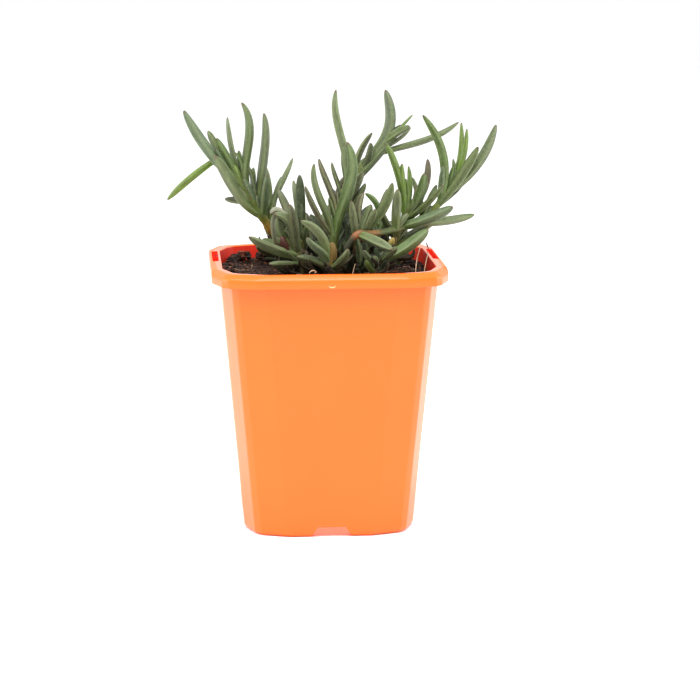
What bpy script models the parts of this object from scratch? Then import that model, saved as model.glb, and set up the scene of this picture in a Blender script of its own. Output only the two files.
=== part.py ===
"""Potted ice plant: a square nursery pot with faceted corners, its soil, and a node for each leafy stem.

+X runs to the right along the pot's front, +Y to its back and +Z up. Everything is modelled around
the pot's own axis, with its foot on the ground, and hangs from an empty that puts the origin under
the middle of the whole plant's reach. Objects are in metres. The tables of stems and leaves are in
millimetres and degrees, and MM turns them to metres.
"""

import math

import bmesh
import bpy
from mathutils import Vector

MM = 0.001
GAP = 0.0003

# The plant reaches further to the right of the pot's axis than to the left: this is half the difference.
PLANT_MIDDLE_X = 0.0038

# The pot. Half widths are from the middle to the flat panel in the middle of a side.
RIM_WIDTH = 0.100
POT_HEIGHT = 0.115
WALL = 0.0012
TOP_HALF = 0.0465
BASE_HALF = 0.0365
PANEL_INSET = 0.0184
SIDE_TURN = math.radians(19)
CORNER_RADIUS = 0.008
CORNER_STEPS = 4

# The rim is a lip, a chamfer and a short skirt, open underneath. The chamfer is deep along the front
# alone: along the sides and the back the rim's top stays nearly flat out to its edge.
LIP_WIDTH = 0.0010
RIM_CHAMFER_DROP = 0.0018
SIDE_CHAMFER_DROP = 0.0003
SKIRT_BOTTOM = POT_HEIGHT - 0.0057
RIM_THICKNESS = 0.0013
RIM_CORNER_SHARE = 0.6

# The foot: the floor stands above the ground on a ring, cut by a notch in the middle of each side.
FLOOR_UNDERSIDE = 0.0036
FLOOR_TOP = 0.0052
FOOT_INSET = 0.0020
FOOT_WIDTH = 0.0024
FOOT_TAPER = 0.0004
FOOT_ROUND = 0.0026
FOOT_ROUND_SHARE = 0.3
NOTCH_WIDTH = 0.019
NOTCH_TOP_WIDTH = 0.012
NOTCH_HEIGHT = 0.0044
NOTCH_DEPTH = 0.0050
CUT_BEYOND = 0.0010
DRAIN_RADIUS = 0.0035
DRAIN_OFFSET = 0.019
DRAIN_SIDES = 16

# A narrow slot through the rim on the left and on the right, where a plant label hangs.
SLOT_LENGTH = 0.030
SLOT_INNER = 0.0467
SLOT_OUTER = 0.0489
SLOT_MIDDLE_Y = 0.010
SLOT_CUT_HEIGHT = 0.010

# The soil and the plain holes in it that the stems stand in.
SOIL_TOP = 0.1083
SOIL_ROUGHNESS = 0.0011
SOIL_EDGE_DEPTH = 0.0030
SOIL_EDGE_GAP = 0.00045
SOIL_RINGS = (1.0, 0.80, 0.58, 0.36, 0.16)
HOLE_CUT_HEIGHT = 0.0170
HOLE_GAP = 0.0004
HOLE_SIDES = 12

# A leaf: a three-sided blade, flat toward its stem and keeled away from it. A station is a place
# between root and tip with the share of the leaf's width there.
LEAF_SIDES = 6
LONG_LEAF = 22
LONG_STATIONS = ((0.0, 0.60), (0.14, 0.88), (0.42, 1.08), (0.70, 1.02), (0.90, 0.70), (1.0, 0.20))
SHORT_STATIONS = ((0.0, 0.60), (0.20, 0.94), (0.52, 1.10), (0.84, 0.84), (1.0, 0.22))
KEEL = 1.0
FLAT = 0.70
DEPTH_BOW = 0.10
END_ON = 0.2
AHEAD = 0.01
STEM_RESOLUTION = 2
TOP_TAPER = 0.75
CAP_WELD = 1e-6

# Each stem: radius, then its route from the soil up, as (right, back, up).
STEM_ROUTES = {
    "stem_left": (1.9, [(-14, 10, 100), (-14, 10, 110), (-16, 9, 117), (-20, 8, 123), (-24, 7, 128),
                        (-28, 5, 134), (-32, 3, 141), (-37, 1, 149), (-43, 1, 156), (-47, 2, 162)]),
    "stem_low_left": (1.8, [(-11, -8, 100), (-11, -8, 112), (-12, -9, 117), (-15, -10, 122),
                            (-20, -11, 126)]),
    "stem_inner_left": (1.6, [(-9, 4, 100), (-9, 4, 112), (-10, 4, 120), (-10, 3, 128)]),
    "stem_front_left": (1.7, [(1, -21, 100), (1, -21, 111), (0, -22, 115), (-1, -22, 119)]),
    "stem_centre": (1.9, [(4, -3, 100), (4, -3, 111), (3, -4, 117), (3, -5, 122), (4, -5, 129),
                          (6, -5, 135), (7, -4, 141)]),
    "stem_upper_right": (1.8, [(10, 12, 100), (10, 12, 116), (9, 11, 125), (10, 10, 136), (12, 10, 145),
                               (17, 11, 153), (22, 12, 159), (27, 13, 163)]),
    "stem_middle": (1.7, [(13, -6, 100), (13, -6, 117), (14, -7, 124), (17, -7, 128), (20, -7, 132),
                          (24, -6, 134)]),
    "stem_middle_right": (1.8, [(28, 11, 100), (28, 11, 112), (30, 10, 119), (32, 8, 125), (35, 6, 132),
                                (37, 5, 139)]),
    "stem_right": (1.6, [(5, -13, 100), (5, -13, 112), (8, -13, 121), (13, -13, 127), (18, -11, 127),
                         (24, -7, 127), (31, -2, 128), (39, 4, 130), (46, 8, 133), (51, 9, 138),
                         (55, 9, 143)]),
    "stem_low_right": (1.5, [(20, -20, 100), (20, -20, 112), (21, -19, 115), (24, -17, 117), (27, -15, 118)]),
    "stem_back_left": (1.7, [(-17, 29, 100), (-17, 29, 111), (-18, 30, 117), (-20, 31, 122)]),
    "stem_back": (1.7, [(4, 32, 100), (4, 32, 111), (4, 33, 117), (5, 34, 122)]),
    "stem_back_right": (1.7, [(23, 31, 100), (23, 31, 111), (24, 32, 116), (26, 33, 120)]),
}

# Each leaf: place along its stem's route from the foot of its hole, length, lean to the right of
# upright, lean toward the front, sway to the side at one third and at two thirds, and width.
STEM_LEAVES = {
    "stem_left": [
        (38, 35, -37, 17, -2, -1, 5.0),
        (37, 22, 5, 28, 0, 0, 4.0),
        (53, 43, -37, 10, -2, -2, 4.2),
        (48, 42, -5, 11, -1, 2, 4.3),
        (40, 43, 3, 5, 0, 1, 4.4),
        (31, 32, 20, -14, -2, -1, 2.8),
        (39, 19, -24, 21, 0, 0, 2.8),
        (45, 13, -86, -20, 0, 0, 3.4),
        (55, 23, -28, 10, 0, 0, 3.2),
        (54, 30, -12, -9, -1, -1, 2.6),
        (53, 16, -7, -12, 0, 0, 2.8),
        (66, 16, -27, -10, 0, 0, 3.0),
        (70, 30, -130, -8, 1, 1, 3.4),
        (32, 26, -1, -20, 1, 1, 2.8),
        (30, 24, 13, -22, -1, -1, 2.8),
        (45, 15, 1, -14, 0, 0, 2.8),
        (53, 11, -23, 12, 0, 0, 2.4),
        (23, 17, 36, -16, 0, 0, 3.4),
    ],
    "stem_low_left": [
        (18, 27, -65, 28, -1, -1, 4.6),
        (19, 18, -70, -32, 0, 0, 3.5),
        (14, 21, -81, 48, 0, 0, 3.6),
        (19, 24, -9, 20, 0, 0, 4.6),
        (22, 19, -29, 20, 3, 4, 3.9),
        (28, 11, -12, 12, -1, -1, 4.6),
    ],
    "stem_inner_left": [
        (26, 25, -2, -6, 0, 0, 3.8),
        (24, 25, -8, -14, 0, 0, 2.8),
        (23, 14, -30, 26, 0, 0, 3.8),
        (22, 25, -24, -8, 0, 0, 4.4),
        (20, 11, 12, 16, 0, 0, 2.8),
        (11, 15, 50, -38, 0, 0, 3.6),
    ],
    "stem_front_left": [
        (14, 15, -70, -2, 1, 1, 3.8),
        (16, 16, -38, 17, 1, 0, 3.6),
        (18, 10, -24, -4, 1, 1, 3.2),
        (14, 14, 38, 34, 1, 1, 4.0),
        (19, 20, -35, 10, 3, 3, 4.2),
    ],
    "stem_centre": [
        (21, 38, -13, 9, 1, -1, 3.8),
        (30, 30, -14, -3, 2, 1, 3.2),
        (35, 23, -8, -9, 2, 1, 2.4),
        (26, 41, 7, 5, 2, 4, 4.7),
        (41, 48, -3, -1, 3, 0, 3.7),
        (30, 22, 11, -20, -1, -1, 3.6),
        (35, 17, 12, -20, 0, 0, 2.4),
        (31, 21, 19, -8, 0, 0, 3.4),
        (25, 26, -29, 5, -1, -1, 3.0),
        (31, 12, -16, 0, 0, 0, 2.4),
        (17, 17, 42, -14, 0, 0, 3.6),
        (15, 15, -50, -12, 0, 0, 3.4),
        (11, 14, 68, -46, 0, 0, 3.6),
        (9, 6, 34, 24, 0, 0, 4.4),
        (21, 18, 30, -26, 0, 0, 3.6),
        (22, 17, -38, -24, 0, 0, 3.6),
    ],
    "stem_upper_right": [
        (49, 31, 41, -6, 0, 0, 4.6),
        (61, 30, 13, -11, 5, 5, 5.8),
        (67, 20, 45, -8, 0, 0, 1.3),
        (66, 17, 51, 16, -1, -1, 3.3),
        (62, 42, 71, -13, 1, 2, 3.3),
        (48, 23, 22, -16, -2, -2, 3.0),
        (54, 13, 17, 16, 1, 1, 3.0),
        (38, 16, 24, 16, 0, 0, 4.0),
        (22, 18, 38, -14, 0, 0, 3.6),
        (27, 19, -18, -26, 0, 0, 3.6),
        (32, 17, 30, 6, 0, 0, 3.4),
        (18, 16, -50, -18, 0, 0, 3.4),
        (35, 16, 6, -30, 0, 0, 3.2),
    ],
    "stem_middle": [
        (28, 17, 0, -8, -2, -2, 3.8),
        (21, 21, -9, 12, 0, 0, 3.8),
        (24, 17, 17, 14, 0, 0, 3.6),
        (37, 12, -29, -6, 2, 2, 2.8),
        (26, 15, 24, 26, 0, 0, 3.4),
        (31, 22, 27, 10, 1.5, 1.5, 4.2),
        (36, 14, 22, -14, 0, 0, 2.4),
        (9, 15, 12, 10, 1, 1, 4.0),
        (11, 16, 62, -30, 0, 0, 3.8),
        (12, 15, -55, -35, 0, 0, 3.8),
        (17, 14, 44, -2, 0, 0, 3.6),
        (19, 15, 52, -26, 0, 0, 3.6),
    ],
    "stem_middle_right": [
        (34, 34, -15, 8, 2, 2, 3.8),
        (35, 23, -5, 10, 0, 0, 3.4),
        (34, 22, 5, -10, 1, 1, 2.6),
        (31, 24, 23, 9, 2, 2, 4.2),
        (31, 26, 44, 23, 1, 1, 3.2),
        (36, 25, 23, -9, 3, 3, 3.2),
        (19, 21, 62, -6, 0, 0, 4.4),
        (17, 15, -46, 12, 0, 0, 3.6),
        (23, 16, -28, 18, 0, 0, 3.6),
        (25, 18, 36, -28, 0, 0, 3.4),
    ],
    "stem_right": [
        (54, 24, 66, 19, 1, 1, 4.4),
        (60, 28, 85, -10, 1, 1, 3.6),
        (76, 40, -12, 7, 5, 5, 4.2),
        (75, 31, 33, 10, 1, 1, 4.0),
        (82, 36, 36, -5, 3, 3, 4.0),
        (83, 30, 10, -5, 2, 2, 2.8),
        (83, 28, 15, 2, 2, 2, 2.8),
        (76, 17, 4, 12, 0, 0, 3.0),
        (81, 13, 12, 8, 0, 0, 2.2),
        (74, 17, 54, -26, 0, 0, 3.0),
        (64, 17, 29, -18, 0, 0, 2.8),
        (67, 19, -17, -30, 0, 0, 2.6),
        (49, 18, 3, 11, 0, 0, 4.4),
        (30, 21, 110, 50, 0, 0, 4.2),
        (28, 13, 173, -4, -1, -1, 3.4),
    ],
    "stem_low_right": [
        (19, 23, 57, -4, 1, 1, 4.8),
        (12, 9, -38, 38, -1, -1, 2.6),
        (13, 7, -8, 26, 0, 0, 2.6),
        (20, 7, 14, 0, 0, 0, 2.4),
        (17, 12, 42, 38, 0, 0, 3.2),
        (13, 10, -34, 2, 0, 0, 3.0),
    ],
}

# The back stems lie low behind the others: pairs of leaves up each stem, each pair turned from the last.
BACK_STEMS = ("stem_back_left", "stem_back", "stem_back_right")
BACK_PAIRS = 5
BACK_FIRST_PAIR = 10.5
BACK_PAIR_STEP = 3.0
BACK_LEAF_LENGTH = 17.0
BACK_LEAF_SHRINK = 1.8
BACK_LEAF_WIDTH = 3.7
BACK_WIDTH_SHRINK = 0.2
BACK_SPREAD = 74.0
BACK_SPREAD_SHRINK = 14.0
BACK_FIRST_HEADING = math.radians(35)
BACK_DEPTH_SHARE = 0.8

POT_ORANGE = (1.0, 0.29, 0.085, 1.0)
SOIL_BROWN = (0.030, 0.019, 0.012, 1.0)
LEAF_GREEN = (0.135, 0.200, 0.090, 1.0)
LEAF_GREY = (0.150, 0.195, 0.115, 1.0)


def clear_scene():
    for thing in list(bpy.data.objects):
        bpy.data.objects.remove(thing, do_unlink=True)


def new_collection(name):
    collection = bpy.data.collections.new(name)
    bpy.context.scene.collection.children.link(collection)
    return collection


def material(name, colour, roughness):
    made = bpy.data.materials.new(name)
    made.use_nodes = True
    shader = made.node_tree.nodes["Principled BSDF"]
    shader.inputs["Base Color"].default_value = colour
    shader.inputs["Roughness"].default_value = roughness
    shader.inputs["Metallic"].default_value = 0.0
    made.diffuse_color = colour
    return made


def pot_plastic():
    return material("orange moulded polypropylene", POT_ORANGE, 0.38)


def soil_mix():
    return material("bark potting mix", SOIL_BROWN, 0.95)


def leaf_skin(grey):
    return material("succulent leaf", LEAF_GREY if grey else LEAF_GREEN, 0.5)


def mesh_object(name, shape, collection):
    mesh = bpy.data.meshes.new(name)
    shape.to_mesh(mesh)
    shape.free()
    thing = bpy.data.objects.new(name, mesh)
    collection.objects.link(thing)
    return thing


def finish(thing, skin, angle=math.radians(35)):
    thing.data.materials.clear()
    thing.data.materials.append(skin)
    thing.data.shade_smooth()
    thing.data.set_sharp_from_angle(angle=angle)


def wall_half(height):
    """Outer half width of the pot's tapering wall at this height."""
    return BASE_HALF + (TOP_HALF - BASE_HALF) * height / POT_HEIGHT


def outline(half, height):
    """The pot's plan at one height: four flat panels, eight turned ones and four round corners."""
    panel_end = half - PANEL_INSET
    slope = math.tan(SIDE_TURN)
    corner = (half + panel_end * slope) / (1 + slope)
    turn = math.pi / 2 - 2 * SIDE_TURN
    to_centre = CORNER_RADIUS / math.cos(turn / 2)
    centre = corner - to_centre * math.sin(math.pi / 4)
    quarter = [(half, panel_end)]
    for step in range(CORNER_STEPS + 1):
        angle = SIDE_TURN + turn * step / CORNER_STEPS
        quarter.append((centre + CORNER_RADIUS * math.cos(angle), centre + CORNER_RADIUS * math.sin(angle)))
    quarter.append((panel_end, half))
    points = []
    for corner_index in range(4):
        swing = math.pi / 2 * corner_index
        for x, y in quarter:
            points.append(Vector((
                x * math.cos(swing) - y * math.sin(swing),
                x * math.sin(swing) + y * math.cos(swing),
                height,
            )))
    return points


def loft(shape, rings):
    """Skins the rings in order and closes both ends, with each ring running anticlockwise."""
    made = [[shape.verts.new(point) for point in ring] for ring in rings]
    for lower, upper in zip(made, made[1:]):
        count = len(lower)
        for index in range(count):
            after = (index + 1) % count
            shape.faces.new((lower[index], lower[after], upper[after], upper[index]))
    shape.faces.new(reversed(made[0]))
    shape.faces.new(made[-1])


def box_cutter(name, size, middle, collection):
    shape = bmesh.new()
    bmesh.ops.create_cube(shape, size=1.0)
    bmesh.ops.scale(shape, verts=shape.verts, vec=size)
    bmesh.ops.translate(shape, verts=shape.verts, vec=middle)
    return as_cutter(mesh_object(name, shape, collection))


def round_cutter(name, radius, sides, bottom, top, place, collection):
    shape = bmesh.new()
    bmesh.ops.create_cone(
        shape, cap_ends=True, segments=sides, radius1=radius, radius2=radius, depth=top - bottom
    )
    bmesh.ops.translate(shape, verts=shape.verts, vec=(place[0], place[1], (top + bottom) / 2))
    return as_cutter(mesh_object(name, shape, collection))


def as_cutter(thing):
    thing.hide_render = True
    thing.display_type = "WIRE"
    return thing


def cut(thing, cutter):
    modifier = thing.modifiers.new("cut " + cutter.name, "BOOLEAN")
    modifier.operation = "DIFFERENCE"
    modifier.solver = "EXACT"
    modifier.object = cutter


def notch_cutter(side, collection):
    """A trapezium block that cuts the foot's notch in the middle of one side."""
    shape = bmesh.new()
    bmesh.ops.create_cube(shape, size=1.0)
    outer = BASE_HALF + CUT_BEYOND
    for vert in shape.verts:
        top = vert.co.z > 0
        vert.co.x *= NOTCH_TOP_WIDTH if top else NOTCH_WIDTH
        vert.co.y = -outer if vert.co.y < 0 else -(BASE_HALF - NOTCH_DEPTH)
        vert.co.z = NOTCH_HEIGHT if top else -CUT_BEYOND
    swing = math.pi / 2 * side
    for vert in shape.verts:
        x, y = vert.co.x, vert.co.y
        vert.co.x = x * math.cos(swing) - y * math.sin(swing)
        vert.co.y = x * math.sin(swing) + y * math.cos(swing)
    return as_cutter(mesh_object(f"notch_{side}", shape, collection))


def rim_edge(half, chamfer_z):
    """The rim's outer top edge, low along the front and high along the sides and the back."""
    points = outline(half, chamfer_z)
    front_corner = PANEL_INSET - half
    for point in points:
        if point.y > front_corner - GAP:
            point.z = POT_HEIGHT - SIDE_CHAMFER_DROP
    return points


def pot(parts, cutters):
    skirt = RIM_WIDTH / 2
    chamfer_z = POT_HEIGHT - RIM_CHAMFER_DROP
    lip_inner = TOP_HALF - WALL
    foot_outer = BASE_HALF - FOOT_INSET
    foot_inner = foot_outer - FOOT_WIDTH
    below_edge = [
        (foot_inner - FOOT_TAPER, FLOOR_UNDERSIDE),
        (foot_inner, 0.0),
        (foot_outer, 0.0),
        (BASE_HALF - FOOT_INSET * FOOT_ROUND_SHARE, FOOT_ROUND * FOOT_ROUND_SHARE),
        (wall_half(FOOT_ROUND), FOOT_ROUND),
        (wall_half(POT_HEIGHT - RIM_THICKNESS), POT_HEIGHT - RIM_THICKNESS),
        (skirt - RIM_THICKNESS, chamfer_z - RIM_THICKNESS * RIM_CORNER_SHARE),
        (skirt - RIM_THICKNESS, SKIRT_BOTTOM),
        (skirt, SKIRT_BOTTOM),
    ]
    above_edge = [
        (lip_inner + WALL + LIP_WIDTH, POT_HEIGHT),
        (lip_inner, POT_HEIGHT),
        (wall_half(FLOOR_TOP) - WALL, FLOOR_TOP),
    ]
    rings = [outline(half, height) for half, height in below_edge]
    rings.append(rim_edge(skirt, chamfer_z))
    rings += [outline(half, height) for half, height in above_edge]
    shape = bmesh.new()
    loft(shape, rings)
    thing = mesh_object("pot", shape, parts)
    for side in (-1, 1):
        middle = (side * (SLOT_INNER + SLOT_OUTER) / 2, SLOT_MIDDLE_Y, POT_HEIGHT)
        size = (SLOT_OUTER - SLOT_INNER, SLOT_LENGTH, SLOT_CUT_HEIGHT)
        cut(thing, box_cutter(f"slot_{side}", size, middle, cutters))
    for side in range(4):
        cut(thing, notch_cutter(side, cutters))
    drains = [(0.0, 0.0)] + [(x * DRAIN_OFFSET, y * DRAIN_OFFSET) for x in (-1, 1) for y in (-1, 1)]
    for index, place in enumerate(drains):
        cut(thing, round_cutter(
            f"drain_{index}", DRAIN_RADIUS, DRAIN_SIDES, FLOOR_UNDERSIDE - CUT_BEYOND,
            FLOOR_TOP + CUT_BEYOND, place, cutters
        ))
    finish(thing, pot_plastic())
    return thing


def soil_height(x, y):
    """The uneven top of the soil: a few low swells, lower at the pot's wall."""
    short_swell = math.sin(x * 210 + 0.6) * math.cos(y * 170 - 0.9)
    long_swell = math.sin(x * 95 - y * 130 + 2.1)
    return SOIL_TOP + SOIL_ROUGHNESS * (0.62 * short_swell + 0.38 * long_swell)


def soil(parts, cutters):
    rings = []
    for height in (FLOOR_TOP + GAP, SOIL_TOP - SOIL_EDGE_DEPTH):
        rings.append(outline(wall_half(height) - WALL - GAP, height))
    edge = outline(wall_half(SOIL_TOP) - WALL - SOIL_EDGE_GAP, SOIL_TOP)
    for share in SOIL_RINGS:
        rings.append([
            Vector((point.x * share, point.y * share, soil_height(point.x * share, point.y * share)))
            for point in edge
        ])
    shape = bmesh.new()
    loft(shape, rings)
    thing = mesh_object("soil", shape, parts)
    for name, (radius, route) in STEM_ROUTES.items():
        x, y, bottom = (value * MM for value in route[0])
        cut(thing, round_cutter(
            f"hole_{name}", radius * MM + HOLE_GAP, HOLE_SIDES, bottom - GAP, bottom + HOLE_CUT_HEIGHT,
            (x, y), cutters
        ))
    finish(thing, soil_mix())
    return thing


def stem_place(route, along):
    """The point at this distance up the route, and the route's direction there, in millimetres."""
    points = [Vector(point) for point in route]
    for start, end in zip(points, points[1:]):
        run = (end - start).length
        if along <= run or end is points[-1]:
            direction = (end - start).normalized()
            return start + direction * min(along, run), direction
        along -= run


def leaf_centre(root, reach, side, low, high, toward, share):
    """A leaf's centreline: straight to the tip, with a sway to the side and a bow in depth."""
    at_third = 13.5 * share * (2 / 3 - share) * (1 - share)
    at_two_thirds = 13.5 * share * (share - 1 / 3) * (1 - share)
    bow = 4 * share * (1 - share) * DEPTH_BOW * reach.length * math.sin(math.radians(toward))
    return root + reach * share + side * (low * at_third + high * at_two_thirds) + Vector((0, bow, 0))


def leaf_mesh(root, axis, leaf):
    """One blade as a tube, moved ring by ring onto its centreline and shaped to a keeled section."""
    length, lean, toward, low, high, width = leaf
    lean_angle, toward_angle = math.radians(lean), math.radians(toward)
    reach = length * Vector((
        math.sin(lean_angle) * math.cos(toward_angle),
        -math.sin(toward_angle),
        math.cos(lean_angle) * math.cos(toward_angle),
    ))
    side = reach.cross(Vector((0, -1, 0))).normalized()
    inward = axis - axis.project(reach)
    if inward.length < END_ON:
        inward = Vector((0, 1, 0))
    shape = bmesh.new()
    bmesh.ops.create_cone(shape, cap_ends=True, segments=LEAF_SIDES, radius1=1, radius2=1, depth=1)
    rising = [edge for edge in shape.edges if abs(edge.verts[0].co.z - edge.verts[1].co.z) > 0.5]
    stations = LONG_STATIONS if length > LONG_LEAF else SHORT_STATIONS
    bands = len(stations) - 1
    bmesh.ops.subdivide_edges(shape, edges=rising, cuts=bands - 1, use_grid_fill=True)
    for vert in shape.verts:
        ring = round((vert.co.z + 0.5) * bands)
        share = stations[ring][0]
        half = stations[ring][1] * width / 2
        angle = math.atan2(vert.co.y, vert.co.x)
        across = math.cos(angle)
        out = max(KEEL * math.sin(angle), -FLAT)
        centre = leaf_centre(root, reach, side, low, high, toward, share)
        ahead = leaf_centre(root, reach, side, low, high, toward, share + AHEAD)
        tangent = (ahead - centre).normalized()
        keel = -(inward - inward.project(tangent)).normalized()
        broad = keel.cross(tangent)
        vert.co = (centre + (broad * across + keel * out) * half) * MM
    return shape


def stem_mesh(name, radius, route, collection):
    """The stem's tube: a curve with a bevel, made a mesh with its caps welded."""
    curve = bpy.data.curves.new(name + "_route", "CURVE")
    curve.dimensions = "3D"
    curve.bevel_depth = radius * MM
    curve.bevel_resolution = STEM_RESOLUTION
    curve.use_fill_caps = True
    spline = curve.splines.new("POLY")
    spline.points.add(len(route) - 1)
    for index, (point, place) in enumerate(zip(spline.points, route)):
        point.co = (*(Vector(place) * MM), 1)
        point.radius = 1 - (1 - TOP_TAPER) * index / (len(route) - 1)
    drawn = bpy.data.objects.new(name + "_route", curve)
    collection.objects.link(drawn)
    graph = bpy.context.evaluated_depsgraph_get()
    mesh = bpy.data.meshes.new_from_object(drawn.evaluated_get(graph))
    thing = bpy.data.objects.new(name, mesh)
    thing.matrix_world = drawn.matrix_world
    collection.objects.link(thing)
    bpy.data.objects.remove(drawn, do_unlink=True)
    shape = bmesh.new()
    shape.from_mesh(mesh)
    bmesh.ops.remove_doubles(shape, verts=shape.verts, dist=CAP_WELD)
    shape.to_mesh(mesh)
    shape.free()
    return thing


def back_leaves():
    """The leaves of a low back stem: opposite pairs, each a quarter turn on from the pair below."""
    rows = []
    for pair in range(BACK_PAIRS):
        place = BACK_FIRST_PAIR + BACK_PAIR_STEP * pair
        length = BACK_LEAF_LENGTH - BACK_LEAF_SHRINK * pair
        width = BACK_LEAF_WIDTH - BACK_WIDTH_SHRINK * pair
        spread = BACK_SPREAD - BACK_SPREAD_SHRINK * pair
        for side in range(2):
            heading = BACK_FIRST_HEADING + math.pi / 2 * pair + math.pi * side
            lean = spread * math.cos(heading)
            toward = -BACK_DEPTH_SHARE * spread * math.sin(heading)
            rows.append((place, length, lean, toward, 0, 0, width))
    return rows


def leafy_stem(name, parts):
    """A stem with its leaves joined to it, as one closed body."""
    radius, route = STEM_ROUTES[name]
    rows = back_leaves() if name in BACK_STEMS else STEM_LEAVES[name]
    thing = stem_mesh(name, radius, route, parts)
    leaves = new_collection(name + "_leaves")
    for index, row in enumerate(rows):
        root, axis = stem_place(route, row[0])
        mesh_object(f"{name}_leaf_{index}", leaf_mesh(root, axis, row[1:]), leaves)
    joint = thing.modifiers.new("leaves", "BOOLEAN")
    joint.operation = "UNION"
    joint.operand_type = "COLLECTION"
    joint.collection = leaves
    joint.solver = "EXACT"
    graph = bpy.context.evaluated_depsgraph_get()
    joined = bpy.data.meshes.new_from_object(thing.evaluated_get(graph))
    thing.modifiers.clear()
    thing.data = joined
    for leaf in list(leaves.objects):
        bpy.data.objects.remove(leaf, do_unlink=True)
    bpy.data.collections.remove(leaves)
    finish(thing, leaf_skin(name == "stem_centre" or name == "stem_upper_right"))
    return thing


def hang_from_base(parts, cutters):
    """Parents everything to one empty that stands to the left of the pot's axis."""
    base = bpy.data.objects.new("base", None)
    for thing in [*parts.objects, *cutters.objects]:
        thing.parent = base
    parts.objects.link(base)
    base.location.x = -PLANT_MIDDLE_X


def build():
    clear_scene()
    parts = new_collection("potted_ice_plant")
    cutters = new_collection("cutters")
    pot(parts, cutters)
    soil(parts, cutters)
    for name in STEM_ROUTES:
        leafy_stem(name, parts)
    hang_from_base(parts, cutters)


build()
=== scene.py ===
# %% [markdown]
# # A potted ice plant
# The real object is a young trailing ice plant in a square nursery pot. Its solid model already exists:
# plain, faceted and true to size. This script dresses it for a picture.
# Anything new could be placed by eye, but then it would drift from the solids. So the solid model is
# loaded first, and every size below is either read from it or kept as a real size in millimetres.

# %% Load the solid model
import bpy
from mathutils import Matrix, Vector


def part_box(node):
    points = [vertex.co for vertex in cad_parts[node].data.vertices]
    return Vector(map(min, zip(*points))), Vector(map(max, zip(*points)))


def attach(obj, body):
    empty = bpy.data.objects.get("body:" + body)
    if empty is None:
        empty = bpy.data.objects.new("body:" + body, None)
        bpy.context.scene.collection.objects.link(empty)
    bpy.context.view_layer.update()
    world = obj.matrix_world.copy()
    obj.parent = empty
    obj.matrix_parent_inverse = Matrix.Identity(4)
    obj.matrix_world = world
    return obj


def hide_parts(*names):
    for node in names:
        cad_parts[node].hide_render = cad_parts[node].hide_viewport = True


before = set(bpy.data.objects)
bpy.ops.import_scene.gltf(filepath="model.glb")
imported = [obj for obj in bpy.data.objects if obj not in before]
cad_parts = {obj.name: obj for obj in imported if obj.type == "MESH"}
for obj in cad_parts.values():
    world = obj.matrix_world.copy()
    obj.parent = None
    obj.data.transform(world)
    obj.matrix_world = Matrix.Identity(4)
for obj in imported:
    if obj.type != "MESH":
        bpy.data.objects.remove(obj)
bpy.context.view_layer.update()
print("solid parts:", len(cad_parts))

# %% Tools, and the pot's own axis
import random
from math import asin, atan2, cos, degrees, exp, hypot, pi, radians, sin, sqrt, tan, tau

import bmesh
import bpy
from mathutils import Matrix, Vector, noise
from mathutils.geometry import interpolate_bezier

MM = 0.001
pot_low, pot_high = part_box("pot")
pot_axis = Vector(((pot_low.x + pot_high.x) / 2, (pot_low.y + pot_high.y) / 2, 0.0))
rim_half = (pot_high.x - pot_low.x) / 2 / MM
rim_height = pot_high.z / MM
print("rim half width and height in mm:", round(rim_half, 2), round(rim_height, 2))

# %% [markdown]
# ## Camera, floor and light
# The plant was shot from a little above, from about a metre away, in bright and even white light.
# A lens this long hardly shows perspective, so the rim's back edge is nearly as wide as its front.
# The camera comes first, because every later choice is judged through it.

# %% Place the camera
CAMERA_PLACE = Vector((-68.7, -1028.1, 266.3))
CAMERA_LOOK = Vector((0.0756, 0.9802, -0.1830))
FOCAL_PIXELS = 2400.0
FRAME_PIXELS = 700.0
SENSOR_WIDTH = 36.0


def add_object(name, data):
    """A new object in the scene."""
    thing = bpy.data.objects.new(name, data)
    bpy.context.scene.collection.objects.link(thing)
    return thing


camera = add_object("camera", bpy.data.cameras.new("camera"))
camera.data.sensor_width = SENSOR_WIDTH
camera.data.lens = FOCAL_PIXELS / FRAME_PIXELS * SENSOR_WIDTH
camera.location = pot_axis + CAMERA_PLACE * MM
camera.rotation_euler = CAMERA_LOOK.to_track_quat("-Z", "Y").to_euler()
bpy.context.scene.camera = camera
print("lens in mm:", round(camera.data.lens, 1))

# %% [markdown]
# A shader works in linear light, while colours are given as sRGB codes. One function turns the
# codes to linear values. Another adds a node with its settings, its values and its links in one call.
# Every material here is made with the same four steps: a noise, a part of its range, a blend of two
# colours and a bump. Each step is a function, so the materials below read like recipes.

# %% Helpers for colours and nodes
MIX_FACTOR, MIX_A, MIX_B, MIX_RESULT = 0, 6, 7, 2


def linear(code):
    """An sRGB colour code such as #FF8800 as a linear colour."""
    channels = [int(code[place:place + 2], 16) / 255 for place in (1, 3, 5)]
    return [c / 12.92 if c <= 0.04045 else ((c + 0.055) / 1.055) ** 2.4 for c in channels] + [1.0]


def repeats(size_mm):
    """The texture scale at which a pattern's features are this many millimetres wide."""
    return 1.0 / (size_mm * MM)


def set_inputs(node, inputs):
    """Gives each input its value, or a link from the socket of another node."""
    for name, value in inputs.items():
        if isinstance(value, bpy.types.NodeSocket):
            node.id_data.links.new(value, node.inputs[name])
        else:
            node.inputs[name].default_value = value


def add_node(tree, kind, settings=(), inputs=()):
    """Adds a node with its settings and inputs."""
    node = tree.nodes.new(kind)
    for name, value in dict(settings).items():
        setattr(node, name, value)
    set_inputs(node, dict(inputs))
    return node


def speckle(tree, place, size_mm, detail=2.0, roughness=0.5):
    """A noise with features of this size."""
    return add_node(tree, "ShaderNodeTexNoise", {}, {
        "Vector": place, "Scale": repeats(size_mm), "Detail": detail, "Roughness": roughness,
    }).outputs["Fac"]


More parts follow.
